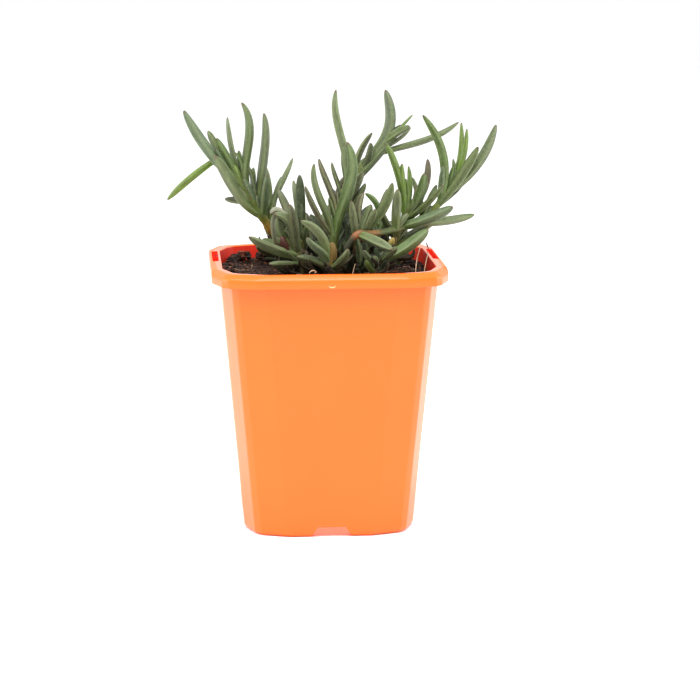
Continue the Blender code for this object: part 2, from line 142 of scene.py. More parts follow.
def spread(tree, value, low, high, start=0.0, end=1.0, easing="LINEAR"):
    """The part of a value between low and high, drawn out from start to end."""
    return add_node(tree, "ShaderNodeMapRange", {"interpolation_type": easing}, {
        "Value": value, "From Min": low, "From Max": high, "To Min": start, "To Max": end,
    }).outputs["Result"]


def blend(tree, share, below, above, how="MIX"):
    """A colour laid over another by a share."""
    return add_node(tree, "ShaderNodeMix", {"data_type": "RGBA", "blend_type": how}, {
        MIX_FACTOR: share, MIX_A: below, MIX_B: above,
    }).outputs[MIX_RESULT]


def bump(tree, height, depth_mm, strength, **under):
    """A relief of this depth, on top of the one whose Normal is given."""
    return add_node(tree, "ShaderNodeBump", {}, {
        "Height": height, "Distance": depth_mm * MM, "Strength": strength, **under,
    }).outputs["Normal"]


def new_material(name):
    """A material with its tree and its shader."""
    material = bpy.data.materials.new(name)
    material.use_nodes = True
    return material, material.node_tree, material.node_tree.nodes["Principled BSDF"]


def own_place(tree):
    """The object's own coordinates, so that a pattern rides along with it."""
    return add_node(tree, "ShaderNodeTexCoord").outputs["Object"]


print("middle grey in linear light:", round(linear("#808080")[0], 3))

# %% [markdown]
# The photograph has no horizon and hardly a shadow: the pot stood on white and was lit from all sides. A
# big floor of matt white paint and a white world give that. One wide soft light, above and in front,
# adds the shading on the leaves, and two weaker ones lift the sides. Smaller lights would draw hard
# white lines along the edges of the plastic.

# %% White floor and even studio light
FLOOR_HALF = 3.0
LIGHT_HEIGHT = 1.45
SIDE_LIGHT = 1.3
PLANT_MIDDLE = 0.13

floor_paint, _, floor_shader = new_material("white painted sweep")
set_inputs(floor_shader, {"Base Color": linear("#F8F8F8"), "Roughness": 0.9, "Specular IOR Level": 0.0})
floor_shape = bmesh.new()
bmesh.ops.create_grid(floor_shape, x_segments=1, y_segments=1, size=FLOOR_HALF)
floor_mesh = bpy.data.meshes.new("floor")
floor_shape.to_mesh(floor_mesh)
floor_shape.free()
floor_mesh.materials.append(floor_paint)
floor = add_object("floor", floor_mesh)

world = bpy.data.worlds.new("studio")
world.use_nodes = True
set_inputs(world.node_tree.nodes["Background"], {"Color": linear("#FFFFFF"), "Strength": 1.0})
bpy.context.scene.world = world
bpy.context.scene.view_settings.view_transform = "Standard"


def soft_light(name, place, size, power):
    """A square soft light, placed in metres from the pot's foot, that faces the plant."""
    data = bpy.data.lights.new(name, "AREA")
    data.shape = "SQUARE"
    data.size = size
    data.energy = power
    light = add_object(name, data)
    light.location = pot_axis + place
    light.rotation_euler = (Vector((0, 0, PLANT_MIDDLE)) - place).to_track_quat("-Z", "Y").to_euler()


soft_light("overhead_light", Vector((-0.1, -0.55, LIGHT_HEIGHT)), 1.2, 34.0)
soft_light("left_light", Vector((-SIDE_LIGHT, 0.15, 0.5)), 1.0, 12.0)
soft_light("right_light", Vector((SIDE_LIGHT, 0.15, 0.5)), 1.0, 12.0)

# %% [markdown]
# ## Turning a shape into a piece
# Shapes are worked in millimetres around the pot's axis, because a merge or a normal that is fine at
# that scale can fail at a thousandth of it. The last step shrinks the mesh to metres, moves it to the
# pot's place in the frame and hangs it on the model's body.
# The pot, the leaves, the stems and the straws are all tubes of changing section. Extruding such a tube
# ring by ring works, but every extrusion walks the whole mesh again and takes long with hundreds of
# leaves. So one grid is made for each tube, bent onto its rings and welded along the seam.

# %% Helpers that finish a piece and skin a form
def metre_mesh(name, shape, materials):
    """The shape as a mesh in metres, at the pot's place in the frame."""
    bmesh.ops.scale(shape, verts=shape.verts, vec=(MM, MM, MM))
    bmesh.ops.translate(shape, verts=shape.verts, vec=pot_axis)
    mesh = bpy.data.meshes.new(name)
    shape.to_mesh(mesh)
    shape.free()
    for material in materials:
        mesh.materials.append(material)
    return mesh


def shade(mesh, smooth_angle):
    """Shades a mesh smooth, apart from edges that turn by more than this angle in degrees."""
    mesh.shade_smooth()
    mesh.set_sharp_from_angle(angle=radians(smooth_angle))


def finish_piece(name, shape, materials, replaced=(), smooth_angle=40):
    """The shape as an object that rides on the model."""
    bmesh.ops.recalc_face_normals(shape, faces=shape.faces)
    mesh = metre_mesh(name, shape, materials)
    shade(mesh, smooth_angle)
    piece = add_object(name, mesh)
    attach(piece, "root")
    if replaced:
        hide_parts(*replaced)
    print(name, "faces:", len(mesh.polygons))
    return piece


def faces_at(verts):
    """The faces that touch any of these vertices."""
    return {face for vert in verts for face in vert.link_faces}


def paint(verts, material_index):
    """Gives the faces at these vertices the material of this index."""
    for face in faces_at(verts):
        face.material_index = material_index


def loop_edges(ring):
    """The edges that run round one ring of vertices."""
    inside = set(ring)
    return list({edge for vert in ring for edge in vert.link_edges if edge.other_vert(vert) in inside})


def skin(shape, rings):
    """Bends a grid into a closed tube through rings of points. Returns the rings of its vertices."""
    sides, bands = len(rings[0]), len(rings) - 1
    made_rings = [[None] * (sides + 1) for _ in rings]
    grid = bmesh.ops.create_grid(shape, x_segments=sides, y_segments=bands, size=1.0)["verts"]
    for vert in grid:
        column = round((vert.co.x + 1) / 2 * sides)
        band = round((vert.co.y + 1) / 2 * bands)
        made_rings[band][column] = vert
        vert.co = rings[band][column % sides]
    bmesh.ops.weld_verts(shape, targetmap={ring[-1]: ring[0] for ring in made_rings})
    made_rings = [ring[:-1] for ring in made_rings]
    for end in (made_rings[0], made_rings[-1]):
        bmesh.ops.edgeloop_fill(shape, edges=loop_edges(end))
    return made_rings


print("one millimetre of the shapes in metres:", MM)

# %% [markdown]
# ## The pot's plastic
# The pot is injection moulded from orange polypropylene, a soft, slightly waxy plastic. A mould leaves it
# satin, with a very fine grain and faint upright streaks where the melt flowed. Seen at a low angle it
# mirrors the white studio, which is why the sides of the pot look paler than its front. The inner face
# and the faces under the rim get a far deeper red as painted shade, with painted light that has come
# through the wall or bounced inside it. Under the floor the same light makes a soft pink glow, seen
# through the notch in the foot, and it reddens the label slots, whose walls are also painted a deep red
# as shade. Tracing it through the plastic would be slow and grainy, so a faint emission of those colours
# paints that glow.

# %% Orange moulded polypropylene
# The tool's real grain is near 0.05 mm. It is drawn coarser here, since a picture can't show it so fine.
FLOW_STREAK = 2.5
FLOW_SQUEEZE = (1.0, 1.0, 0.06)
MOULD_GRAIN = 0.4
COLOUR_CLOUD = 35
STREAK_IN_RELIEF = 0.3
ORANGES = ("#F45F08", "#F6640C")


def moulded_polypropylene(name, colours, roughness, mirroring, glow="#FFFFFF", glow_strength=0.0):
    """Moulded plastic in two near colours, with upright flow streaks in its gloss, a fine grain and an
    optional emission that paints a glow.
    """
    material, tree, shader = new_material(name)
    place = own_place(tree)
    upright = add_node(tree, "ShaderNodeMapping", {}, {"Vector": place, "Scale": FLOW_SQUEEZE})
    streaks = speckle(tree, upright.outputs["Vector"], FLOW_STREAK, 3.0)
    height = add_node(tree, "ShaderNodeMix", {"data_type": "FLOAT"}, {
        0: STREAK_IN_RELIEF, 2: speckle(tree, place, MOULD_GRAIN, 1.0), 3: streaks,
    })
    set_inputs(shader, {
        "Base Color": blend(tree, speckle(tree, place, COLOUR_CLOUD), *map(linear, colours)),
        "Roughness": spread(tree, streaks, 0.0, 1.0, roughness - 0.05, roughness + 0.07),
        "Normal": bump(tree, height.outputs[0], 0.05, 0.35),
        "IOR": 1.49,
        "Specular IOR Level": mirroring,
        "Emission Color": linear(glow),
        "Emission Strength": glow_strength,
    })
    return material


pot_outside = moulded_polypropylene("orange moulded polypropylene", ORANGES, 0.31, 0.42)
# The inner face is a far deeper red than the outside: painted shade, with painted light come through the
# wall.
pot_inside_shaded = moulded_polypropylene("orange polypropylene, inner face with painted shade", ("#C42412", "#CA2A16"), 0.55, 0.2)
# The underside's faint pink emission is a painted glow of light coming through the floor.
pot_underside_glowing = moulded_polypropylene("orange polypropylene, underside with painted glow", ORANGES, 0.4, 0.3, "#FFAF92", 0.7)
pot_rim = moulded_polypropylene("orange polypropylene, smooth rim", ORANGES, 0.08, 0.5)
# The slot walls are deep red as painted shade, with a faint red emission as a painted glow.
slot_shade_and_glow_plastic = moulded_polypropylene(
    "orange polypropylene, slot walls", ("#D02A14", "#D6301A"), 0.55, 0.2, "#E8321C", 0.4
)
plastics = [pot_outside, pot_inside_shaded, pot_underside_glowing, pot_rim, slot_shade_and_glow_plastic]
print("plastics:", [plastic.name for plastic in plastics])

# %% [markdown]
# ## The pot
# A square pot with soft corners could be a scaled cube with bevels, but its sides aren't flat: each has
# a flat panel in the middle and two panels that turn back to the corner, which is a narrow flat facet.
# So the plan is drawn as sixteen rounded corners, and one tube through loops of that plan runs from
# under the floor out to the foot, up the wall, round the rim and down the inside.

# %% The pot's plan at one height
PANEL_INSET = 18.4
SIDE_TURN = radians(19)
CORNER_CUT = 2.1
PANEL_ROUND = 4.0
CORNER_ROUND = 3.0
ARC_STEPS = 5
ARC_EASE = 0.6
FLAT_EDGE = 4.0
CORNER_FLAT = 0.6


def rounded_corner(before, corner, after, radius, flat):
    """Points that turn one corner of a plan, with a flat start and end so that panels shade flat."""
    back = (before - corner).normalized()
    ahead = (after - corner).normalized()
    half_turn = (pi - back.angle(ahead)) / 2
    reach = radius * tan(half_turn)
    start = corner + back * reach
    end = corner + ahead * reach
    arc = interpolate_bezier(start, start.lerp(corner, ARC_EASE), end.lerp(corner, ARC_EASE), end, ARC_STEPS)
    return [start + back * flat, *arc, end + ahead * flat]


def pot_plan(half, height):
    """The pot's outline at one height, from the half width of its middle panels."""
    panel_end = half - PANEL_INSET
    slope = tan(SIDE_TURN)
    corner = (half + panel_end * slope) / (1 + slope)
    cut_across = CORNER_CUT * cos(SIDE_TURN)
    cut_along = CORNER_CUT * sin(SIDE_TURN)
    corners = []
    for quarter in range(4):
        turn = Matrix.Rotation(pi / 2 * quarter, 3, "Z")
        for x, y, radius, flat in (
            (half, panel_end, PANEL_ROUND, FLAT_EDGE),
            (corner + cut_along, corner - cut_across, CORNER_ROUND, CORNER_FLAT),
            (corner - cut_across, corner + cut_along, CORNER_ROUND, CORNER_FLAT),
            (panel_end, half, PANEL_ROUND, FLAT_EDGE),
        ):
            corners.append((turn @ Vector((x, y, height)), radius, flat))
    points = []
    for index, (corner, radius, flat) in enumerate(corners):
        after = corners[(index + 1) % len(corners)][0]
        points += rounded_corner(corners[index - 1][0], corner, after, radius, flat)
    return points


print("points round the pot:", len(pot_plan(rim_half, rim_height)))

# %% The wall, the foot and the rim
WALL = 1.2
TOP_HALF = 46.5
BASE_HALF = 36.5
LIP_WIDTH = 1.0
CHAMFER_DROP = 1.8
SIDE_CHAMFER_DROP = 0.3
SKIRT_HEIGHT = 5.7
RIM_THICKNESS = 1.3
FLOOR_UNDERSIDE = 3.6
FLOOR_TOP = 5.2
FOOT_INSET = 2.0
FOOT_WIDTH = 2.4
FOOT_ROUND = 2.6
FOOT_SLOPE = 0.4
FOOT_ANGLES = (0, 22, 45, 68, 90)
WALL_RINGS = (30.0, 58.0, 86.0)
INNER_RING = 60.0
RIM_TUCK = 0.6


def wall_half(height):
    """Half width of the tapering wall at this height."""
    return BASE_HALF + (TOP_HALF - BASE_HALF) * height / rim_height


def foot_curve(turn):
    """A point on the round edge between the foot and the wall."""
    return (
        BASE_HALF - FOOT_INSET + (wall_half(FOOT_ROUND) - BASE_HALF + FOOT_INSET) * sin(turn),
        FOOT_ROUND * (1 - cos(turn)),
    )


skirt_bottom = rim_height - SKIRT_HEIGHT
chamfer_height = rim_height - CHAMFER_DROP
lip_inner = TOP_HALF - WALL
foot_inner = BASE_HALF - FOOT_INSET - FOOT_WIDTH
profile = [(foot_inner - FOOT_SLOPE, FLOOR_UNDERSIDE), (foot_inner, 0.0)]
profile += [foot_curve(radians(angle)) for angle in FOOT_ANGLES]
profile += [(wall_half(height), height) for height in (*WALL_RINGS, skirt_bottom)]
profile += [
    (wall_half(rim_height - RIM_THICKNESS), rim_height - RIM_THICKNESS),
    (rim_half - RIM_THICKNESS, chamfer_height - RIM_THICKNESS * RIM_TUCK),
    (rim_half - RIM_THICKNESS, skirt_bottom),
    (rim_half, skirt_bottom),
    (rim_half, chamfer_height),
    (lip_inner + WALL + LIP_WIDTH, rim_height),
    (lip_inner, rim_height),
    (wall_half(INNER_RING) - WALL, INNER_RING),
    (wall_half(FLOOR_TOP) - WALL, FLOOR_TOP),
]
pot_outline = [pot_plan(half, height) for half, height in profile]
for point in pot_outline[profile.index((rim_half, chamfer_height))]:
    beyond_front = (point.y + rim_half - PANEL_INSET) / FLAT_EDGE
    point.z += (CHAMFER_DROP - SIDE_CHAMFER_DROP) * min(max(beyond_front, 0), 1)
pot_shape = bmesh.new()
pot_rings = skin(pot_shape, pot_outline)
print("rings up the pot:", len(pot_rings))

# %% [markdown]
# Moulded edges are never sharp: the tool itself is rounded a little. The rim's edges get a bevel of a
# third of a millimetre, and the foot of the chamfer a softer one. The flat top and the round lip are
# smoother than the rest. Seen almost edge-on they mirror the white room, so they look much paler.

# %% Round the rim's edges and mark the inner face
EDGE_ROUND = 0.35
CHAMFER_FOOT_ROUND = 0.7
LAST_RINGS = 8
SHADED_INSIDE, UNDERSIDE, RIM_TOP, SLOT = 1, 2, 3, 4

# The last rings run from under the rim over the lip and down the inside.
first_rim_ring = len(profile) - LAST_RINGS
# The faces under the rim and inside the pot take the inner face's deeper red, which paints their shade. The
# floor's underside takes the painted glow.
for ring in (first_rim_ring - 1, first_rim_ring, -2, -1):
    paint(pot_rings[ring], SHADED_INSIDE)
paint(pot_rings[0], UNDERSIDE)
lip, lip_outside = pot_rings[-3], pot_rings[-4]
for face in faces_at(lip) & faces_at(lip_outside):
    face.material_index = RIM_TOP
chamfer_foot = pot_rings[profile.index((rim_half, chamfer_height))]
other_rings = [ring for ring in pot_rings[first_rim_ring:-3] if ring is not chamfer_foot]
bevels = [
    (loop_edges(lip), EDGE_ROUND, RIM_TOP),
    (loop_edges(chamfer_foot), CHAMFER_FOOT_ROUND, -1),
    ([edge for ring in other_rings for edge in loop_edges(ring)], EDGE_ROUND, -1),
]
for edges, offset, material_index in bevels:
    bmesh.ops.bevel(
        pot_shape, geom=edges, offset=offset, segments=3, profile=0.5, affect="EDGES",
        material=material_index, clamp_overlap=True,
    )
print("inner faces:", sum(face.material_index == SHADED_INSIDE for face in pot_shape.faces))

# %% [markdown]
# The label slots, the foot's notches and the drain holes go through the plastic. Cutting them by hand
# would spoil the tidy rings, so each is a block or a cylinder taken away with a Boolean modifier,
# whose result then becomes the mesh. A slot is a pocket for a plant label: below its opening it has a
# floor and two end walls between the pot's wall and the skirt.

# %% Cut the slots, the notches and the drain holes
SLOT_LENGTH = 30.0
SLOT_INNER = 46.3
SLOT_OUTER = 49.0
SLOT_MIDDLE = 10.0
SLOT_WALL = 0.6
SLOT_BOTTOM = 0.7
NOTCH_WIDTH = 19.0
NOTCH_TOP_WIDTH = 12.0
NOTCH_HEIGHT = 4.4
NOTCH_DEPTH = 5.0
DRAIN_RADIUS = 3.5
DRAIN_OFFSET = 19.0
CUT_BEYOND = 1.0
POT_SMOOTH = 30


def cutter_block(shape, low, high, top_share=1.0):
    """Adds a block between two corners, narrowed along X at its top."""
    verts = bmesh.ops.create_cube(shape, size=1.0)["verts"]
    for vert in verts:
        vert.co.x *= top_share if vert.co.z > 0 else 1.0
    bmesh.ops.scale(shape, verts=verts, vec=high - low)
    bmesh.ops.translate(shape, verts=verts, vec=(low + high) / 2)
    return verts


cutter_shape = bmesh.new()
slot_shape = bmesh.new()
slot_near, slot_far = SLOT_MIDDLE - SLOT_LENGTH / 2, SLOT_MIDDLE + SLOT_LENGTH / 2
end_wall_top = chamfer_height - RIM_THICKNESS / 2
for side in (-1, 1):
    inner, outer = sorted((side * SLOT_INNER, side * SLOT_OUTER))
    slot_low = Vector((inner, slot_near, skirt_bottom + SLOT_BOTTOM))
    # The faces cut by the slots take the slot walls' deep red: painted shade and glow.
    paint(cutter_block(cutter_shape, slot_low, Vector((outer, slot_far, rim_height + CUT_BEYOND))), SLOT)
    inner, outer = sorted((side * (SLOT_INNER - WALL), side * SLOT_OUTER))
    for near, far, top in (
        (slot_near - SLOT_WALL, slot_far + SLOT_WALL, skirt_bottom + SLOT_WALL),
        (slot_near - SLOT_WALL, slot_near, end_wall_top),
        (slot_far, slot_far + SLOT_WALL, end_wall_top),
    ):
        cutter_block(slot_shape, Vector((inner, near, skirt_bottom)), Vector((outer, far, top)))
finish_piece("slot_boxes", slot_shape, [slot_shade_and_glow_plastic])

notch_low = Vector((-NOTCH_WIDTH / 2, -BASE_HALF - CUT_BEYOND, -CUT_BEYOND))
notch_high = Vector((NOTCH_WIDTH / 2, NOTCH_DEPTH - BASE_HALF, NOTCH_HEIGHT))
for quarter in range(4):
    block = cutter_block(cutter_shape, notch_low, notch_high, NOTCH_TOP_WIDTH / NOTCH_WIDTH)
    turn = Matrix.Rotation(pi / 2 * quarter, 3, "Z")
    bmesh.ops.rotate(cutter_shape, verts=block, cent=(0, 0, 0), matrix=turn)
drains = [(0, 0)] + [(x * DRAIN_OFFSET, y * DRAIN_OFFSET) for x in (-1, 1) for y in (-1, 1)]
for x, y in drains:
    drain = bmesh.ops.create_cone(
        cutter_shape, cap_ends=True, segments=32, radius1=DRAIN_RADIUS, radius2=DRAIN_RADIUS,
        depth=FLOOR_TOP - FLOOR_UNDERSIDE + 2 * CUT_BEYOND,
    )["verts"]
    bmesh.ops.translate(cutter_shape, verts=drain, vec=(x, y, (FLOOR_TOP + FLOOR_UNDERSIDE) / 2))
cutters = add_object("pot_cutters", metre_mesh("pot_cutters", cutter_shape, plastics))

pot = finish_piece("nursery_pot", pot_shape, plastics, ["pot"], POT_SMOOTH)
cut = pot.modifiers.new("openings", "BOOLEAN")
cut.operation = "DIFFERENCE"
cut.solver = "EXACT"
cut.object = cutters
pot_mesh = bpy.data.meshes.new_from_object(pot.evaluated_get(bpy.context.evaluated_depsgraph_get()))
pot.modifiers.clear()
pot.data = pot_mesh
shade(pot_mesh, POT_SMOOTH)
bpy.data.objects.remove(cutters, do_unlink=True)
print("pot faces after cutting:", len(pot_mesh.polygons))

# %% [markdown]
# The moulding leaves a small mark where the melt entered: a pale crescent on the front of the skirt.
# It is a short bent bead, so an arc of small rings is skinned and laid against the plastic. Plastic that
# was torn or bent cold turns whitish, which makes the mark paler than the pot.

# %% The moulding mark on the rim
MARK_RADIUS = 1.5
MARK_BEAD = 0.22
MARK_STEPS = 11
MARK_START, MARK_TURN = 200, 14
MARK_FLATNESS = 0.8
MARK_MIDDLE = Vector((-0.6, -rim_half, skirt_bottom + 1.9))


def bead_ring(middle, along, radius, sides):
    """A small circle of points round a route, square to its direction."""
    side = along.cross(Vector((0.0, 1.0, 0.0)))
    side = side.normalized() if side.length > 0.1 else Vector((1.0, 0.0, 0.0))
    up = side.cross(along).normalized()
    turns = [tau * step / sides for step in range(sides)]
    return [middle + (side * cos(turn) + up * sin(turn)) * radius for turn in turns]


mark_shape = bmesh.new()
mark_rings = []
for step in range(MARK_STEPS):
    angle = radians(MARK_START + MARK_TURN * step)
    middle = MARK_MIDDLE + Vector((cos(angle), 0.0, sin(angle) * MARK_FLATNESS)) * MARK_RADIUS
    heading = Vector((-sin(angle), 0.0, cos(angle)))
    swell = sin(pi * (step + 0.6) / (MARK_STEPS + 0.2))
    mark_rings.append(bead_ring(middle, heading, MARK_BEAD * swell, 8))
skin(mark_shape, mark_rings)
pale_plastic = moulded_polypropylene("stress-whitened polypropylene", ("#FFB47A", "#FFC08A"), 0.45, 0.5)
finish_piece("moulding_mark", mark_shape, [pale_plastic])

# %% [markdown]
# ## Leaves
# An ice plant's leaf is a fleshy finger, three-sided in section: flat or faintly hollow on the side that
# faces its stem, with a keel down its back. The solid model has each leaf with six sides and five bands.
# Here each one grows again from the same root along the same line, with a round tip, a soft keel and
# faint unevenness. The rows repeat the solid model's own, so both have the same silhouette. The
# word in each row is the leaf's tone, because every leaf on a real plant has its own.

# %% The stems' radii and routes, in millimetres
STEM_ROUTES = {
    "stem_left": (1.9, [(-14, 10, 100), (-14, 10, 110), (-16, 9, 117), (-20, 8, 123), (-24, 7, 128),
                        (-28, 5, 134), (-32, 3, 141), (-37, 1, 149), (-43, 1, 156), (-47, 2, 162)]),
    "stem_low_left": (1.8, [(-11, -8, 100), (-11, -8, 112), (-12, -9, 117), (-15, -10, 122),
                            (-20, -11, 126)]),
    "stem_inner_left": (1.6, [(-9, 4, 100), (-9, 4, 112), (-10, 4, 120), (-10, 3, 128)]),
    "stem_front_left": (1.7, [(1, -21, 100), (1, -21, 111), (0, -22, 115), (-1, -22, 119)]),
    "stem_centre": (1.9, [(4, -3, 100), (4, -3, 111), (3, -4, 117), (3, -5, 122), (4, -5, 129),
                          (6, -5, 135), (7, -4, 141)]),
    "stem_upper_right": (1.8, [(10, 12, 100), (10, 12, 116), (9, 11, 125), (10, 10, 136), (12, 10, 145),
                               (17, 11, 153), (22, 12, 159), (27, 13, 163)]),
    "stem_middle": (1.7, [(13, -6, 100), (13, -6, 117), (14, -7, 124), (17, -7, 128), (20, -7, 132),
                          (24, -6, 134)]),
    "stem_middle_right": (1.8, [(28, 11, 100), (28, 11, 112), (30, 10, 119), (32, 8, 125), (35, 6, 132),
                                (37, 5, 139)]),
    "stem_right": (1.6, [(5, -13, 100), (5, -13, 112), (8, -13, 121), (13, -13, 127), (18, -11, 127),
                         (24, -7, 127), (31, -2, 128), (39, 4, 130), (46, 8, 133), (51, 9, 138),
                         (55, 9, 143)]),
    "stem_low_right": (1.5, [(20, -20, 100), (20, -20, 112), (21, -19, 115), (24, -17, 117), (27, -15, 118)]),
    "stem_back_left": (1.7, [(-17, 29, 100), (-17, 29, 111), (-18, 30, 117), (-20, 31, 122)]),
    "stem_back": (1.7, [(4, 32, 100), (4, 32, 111), (4, 33, 117), (5, 34, 122)]),
    "stem_back_right": (1.7, [(23, 31, 100), (23, 31, 111), (24, 32, 116), (26, 33, 120)]),
}
print("stems:", len(STEM_ROUTES))

# %% The leaves, a group of values each
# Place along the stem, length, lean to the right, lean to the front, width, tone, and two sways if any.
STEM_LEAVES = {
    "stem_left": [
        (38, 35, -37, 17, 5.0, "grey", -2, -1), (37, 22, 5, 28, 4.0, "blue"),
        (53, 43, -37, 10, 4.2, "blue", -2, -2), (48, 42, -5, 11, 4.3, "green", -1, 2),
        (40, 43, 3, 5, 4.4, "moss", 0, 1), (31, 32, 20, -14, 2.8, "grey", -2, -1),
        (39, 19, -24, 21, 2.8, "blue"), (45, 13, -86, -20, 3.4, "brown"), (55, 23, -28, 10, 3.2, "green"),
        (54, 30, -12, -9, 2.6, "grey", -1, -1), (53, 16, -7, -12, 2.8, "olive"),
        (66, 16, -27, -10, 3.0, "olive"), (70, 30, -130, -8, 3.4, "leaf", 1, 1),
        (32, 26, -1, -20, 2.8, "olive", 1, 1), (30, 24, 13, -22, 2.8, "olive", -1, -1),
        (45, 15, 1, -14, 2.8, "green"), (53, 11, -23, 12, 2.4, "leaf"), (23, 17, 36, -16, 3.4, "olive"),
    ],
    "stem_low_left": [
        (18, 27, -65, 28, 4.6, "grey", -1, -1), (19, 18, -70, -32, 3.5, "olive"),
        (14, 21, -81, 48, 3.6, "grey"), (19, 24, -9, 20, 4.6, "brown"),
        (22, 19, -29, 20, 3.9, "grey", 3, 4), (28, 11, -12, 12, 4.6, "moss", -1, -1),
    ],
    "stem_inner_left": [
        (26, 25, -2, -6, 3.8, "dark"), (24, 25, -8, -14, 2.8, "pale"), (23, 14, -30, 26, 3.8, "dark"),
        (22, 25, -24, -8, 4.4, "pale"), (20, 11, 12, 16, 2.8, "olive"), (11, 15, 50, -38, 3.6, "dark"),
    ],
    "stem_front_left": [
        (14, 15, -70, -2, 3.8, "moss", 1, 1), (16, 16, -38, 17, 3.6, "blue", 1, 0),
        (18, 10, -24, -4, 3.2, "green", 1, 1), (14, 14, 38, 34, 4.0, "grey", 1, 1),
        (19, 20, -35, 10, 4.2, "grey", 3, 3),
    ],
    "stem_centre": [
        (21, 38, -13, 9, 3.8, "grey", 1, -1), (30, 30, -14, -3, 3.2, "plum", 2, 1),
        (35, 23, -8, -9, 2.4, "olive", 2, 1), (26, 41, 7, 5, 4.7, "green", 2, 4),
        (41, 48, -3, -1, 3.7, "grey", 3, 0), (30, 22, 11, -20, 3.6, "plum", -1, -1),
        (35, 17, 12, -20, 2.4, "rust"), (31, 21, 19, -8, 3.4, "olive"),
        (25, 26, -29, 5, 3.0, "plum", -1, -1), (31, 12, -16, 0, 2.4, "olive"),
        (17, 17, 42, -14, 3.6, "dark"), (15, 15, -50, -12, 3.4, "dark"), (11, 14, 68, -46, 3.6, "dark"),
        (9, 6, 34, 24, 4.4, "rust"), (21, 18, 30, -26, 3.6, "dark"), (22, 17, -38, -24, 3.6, "dark"),
    ],
    "stem_upper_right": [
        (49, 31, 41, -6, 4.6, "deep"), (61, 30, 13, -11, 5.8, "slate", 5, 5), (67, 20, 45, -8, 1.3, "leaf"),
        (66, 17, 51, 16, 3.3, "olive", -1, -1), (62, 42, 71, -13, 3.3, "grey", 1, 2),
        (48, 23, 22, -16, 3.0, "olive", -2, -2), (54, 13, 17, 16, 3.0, "dark", 1, 1),
        (38, 16, 24, 16, 4.0, "grey"), (22, 18, 38, -14, 3.6, "dark"), (27, 19, -18, -26, 3.6, "dark"),
        (32, 17, 30, 6, 3.4, "grey"), (18, 16, -50, -18, 3.4, "dark"), (35, 16, 6, -30, 3.2, "olive"),
    ],
    "stem_middle": [
        (28, 17, 0, -8, 3.8, "plum", -2, -2), (21, 21, -9, 12, 3.8, "grey"), (24, 17, 17, 14, 3.6, "grey"),
        (37, 12, -29, -6, 2.8, "green", 2, 2), (26, 15, 24, 26, 3.4, "grey"),
        (31, 22, 27, 10, 4.2, "olive", 1.5, 1.5), (36, 14, 22, -14, 2.4, "plum"),
        (9, 15, 12, 10, 4.0, "dark", 1, 1), (11, 16, 62, -30, 3.8, "dark"), (12, 15, -55, -35, 3.8, "dark"),
        (17, 14, 44, -2, 3.6, "dark"), (19, 15, 52, -26, 3.6, "dark"),
    ],
    "stem_middle_right": [
        (34, 34, -15, 8, 3.8, "leaf", 2, 2), (35, 23, -5, 10, 3.4, "leaf"),
        (34, 22, 5, -10, 2.6, "leaf", 1, 1), (31, 24, 23, 9, 4.2, "green", 2, 2),
        (31, 26, 44, 23, 3.2, "olive", 1, 1), (36, 25, 23, -9, 3.2, "plum", 3, 3),
        (19, 21, 62, -6, 4.4, "grey"), (17, 15, -46, 12, 3.6, "olive"), (23, 16, -28, 18, 3.6, "olive"),
        (25, 18, 36, -28, 3.4, "olive"), (17, 8, 14, 34, 2.4, "dry"),
    ],
    "stem_right": [
        (54, 24, 66, 19, 4.4, "blue", 1, 1), (60, 28, 85, -10, 3.6, "grey", 1, 1),
        (76, 40, -12, 7, 4.2, "green", 5, 5), (75, 31, 33, 10, 4.0, "olive", 1, 1),
        (82, 36, 36, -5, 4.0, "moss", 3, 3), (83, 30, 10, -5, 2.8, "leaf", 2, 2),
        (83, 28, 15, 2, 2.8, "leaf", 2, 2), (76, 17, 4, 12, 3.0, "blue"), (81, 13, 12, 8, 2.2, "green"),
        (74, 17, 54, -26, 3.0, "dark"), (64, 17, 29, -18, 2.8, "olive"), (67, 19, -17, -30, 2.6, "olive"),
        (49, 18, 3, 11, 4.4, "grey"), (30, 21, 110, 50, 4.2, "grey"),
        (28, 13, 173, -4, 3.4, "dark", -1, -1),
    ],
    "stem_low_right": [
        (19, 23, 57, -4, 4.8, "green", 1, 1), (12, 9, -38, 38, 2.6, "leaf", -1, -1),
        (13, 7, -8, 26, 2.6, "green"), (20, 7, 14, 0, 2.4, "dark"), (17, 12, 42, 38, 3.2, "olive"),
        (13, 10, -34, 2, 3.0, "dark"),
    ],
}
print("leaves in rows:", sum(len(rows) for rows in STEM_LEAVES.values()))

# %% The low stems behind, as pairs of leaves a quarter turn apart
# Place along the stem, length, lean from upright, width and tone of each pair.
BACK_PAIRS = [
    (10.5, 17.0, 74, 3.7, "olive"), (13.5, 15.2, 60, 3.5, "dark"), (16.5, 13.4, 46, 3.3, "grey"),
    (19.5, 11.6, 32, 3.1, "green"), (22.5, 9.8, 18, 2.9, "leaf"),
]
BACK_FIRST_HEADING = radians(35)
BACK_DEPTH_SHARE = 0.8

back_leaves = []
for pair, (along, length, lean, width, tone) in enumerate(BACK_PAIRS):
    for side in range(2):
        heading = BACK_FIRST_HEADING + pi / 2 * pair + pi * side
        lean_right, lean_front = lean * cos(heading), -BACK_DEPTH_SHARE * lean * sin(heading)
        back_leaves.append((along, length, lean_right, lean_front, width, tone))
for name in ("stem_back_left", "stem_back", "stem_back_right"):
    STEM_LEAVES[name] = back_leaves
print("leaves in all:", sum(len(rows) for rows in STEM_LEAVES.values()))
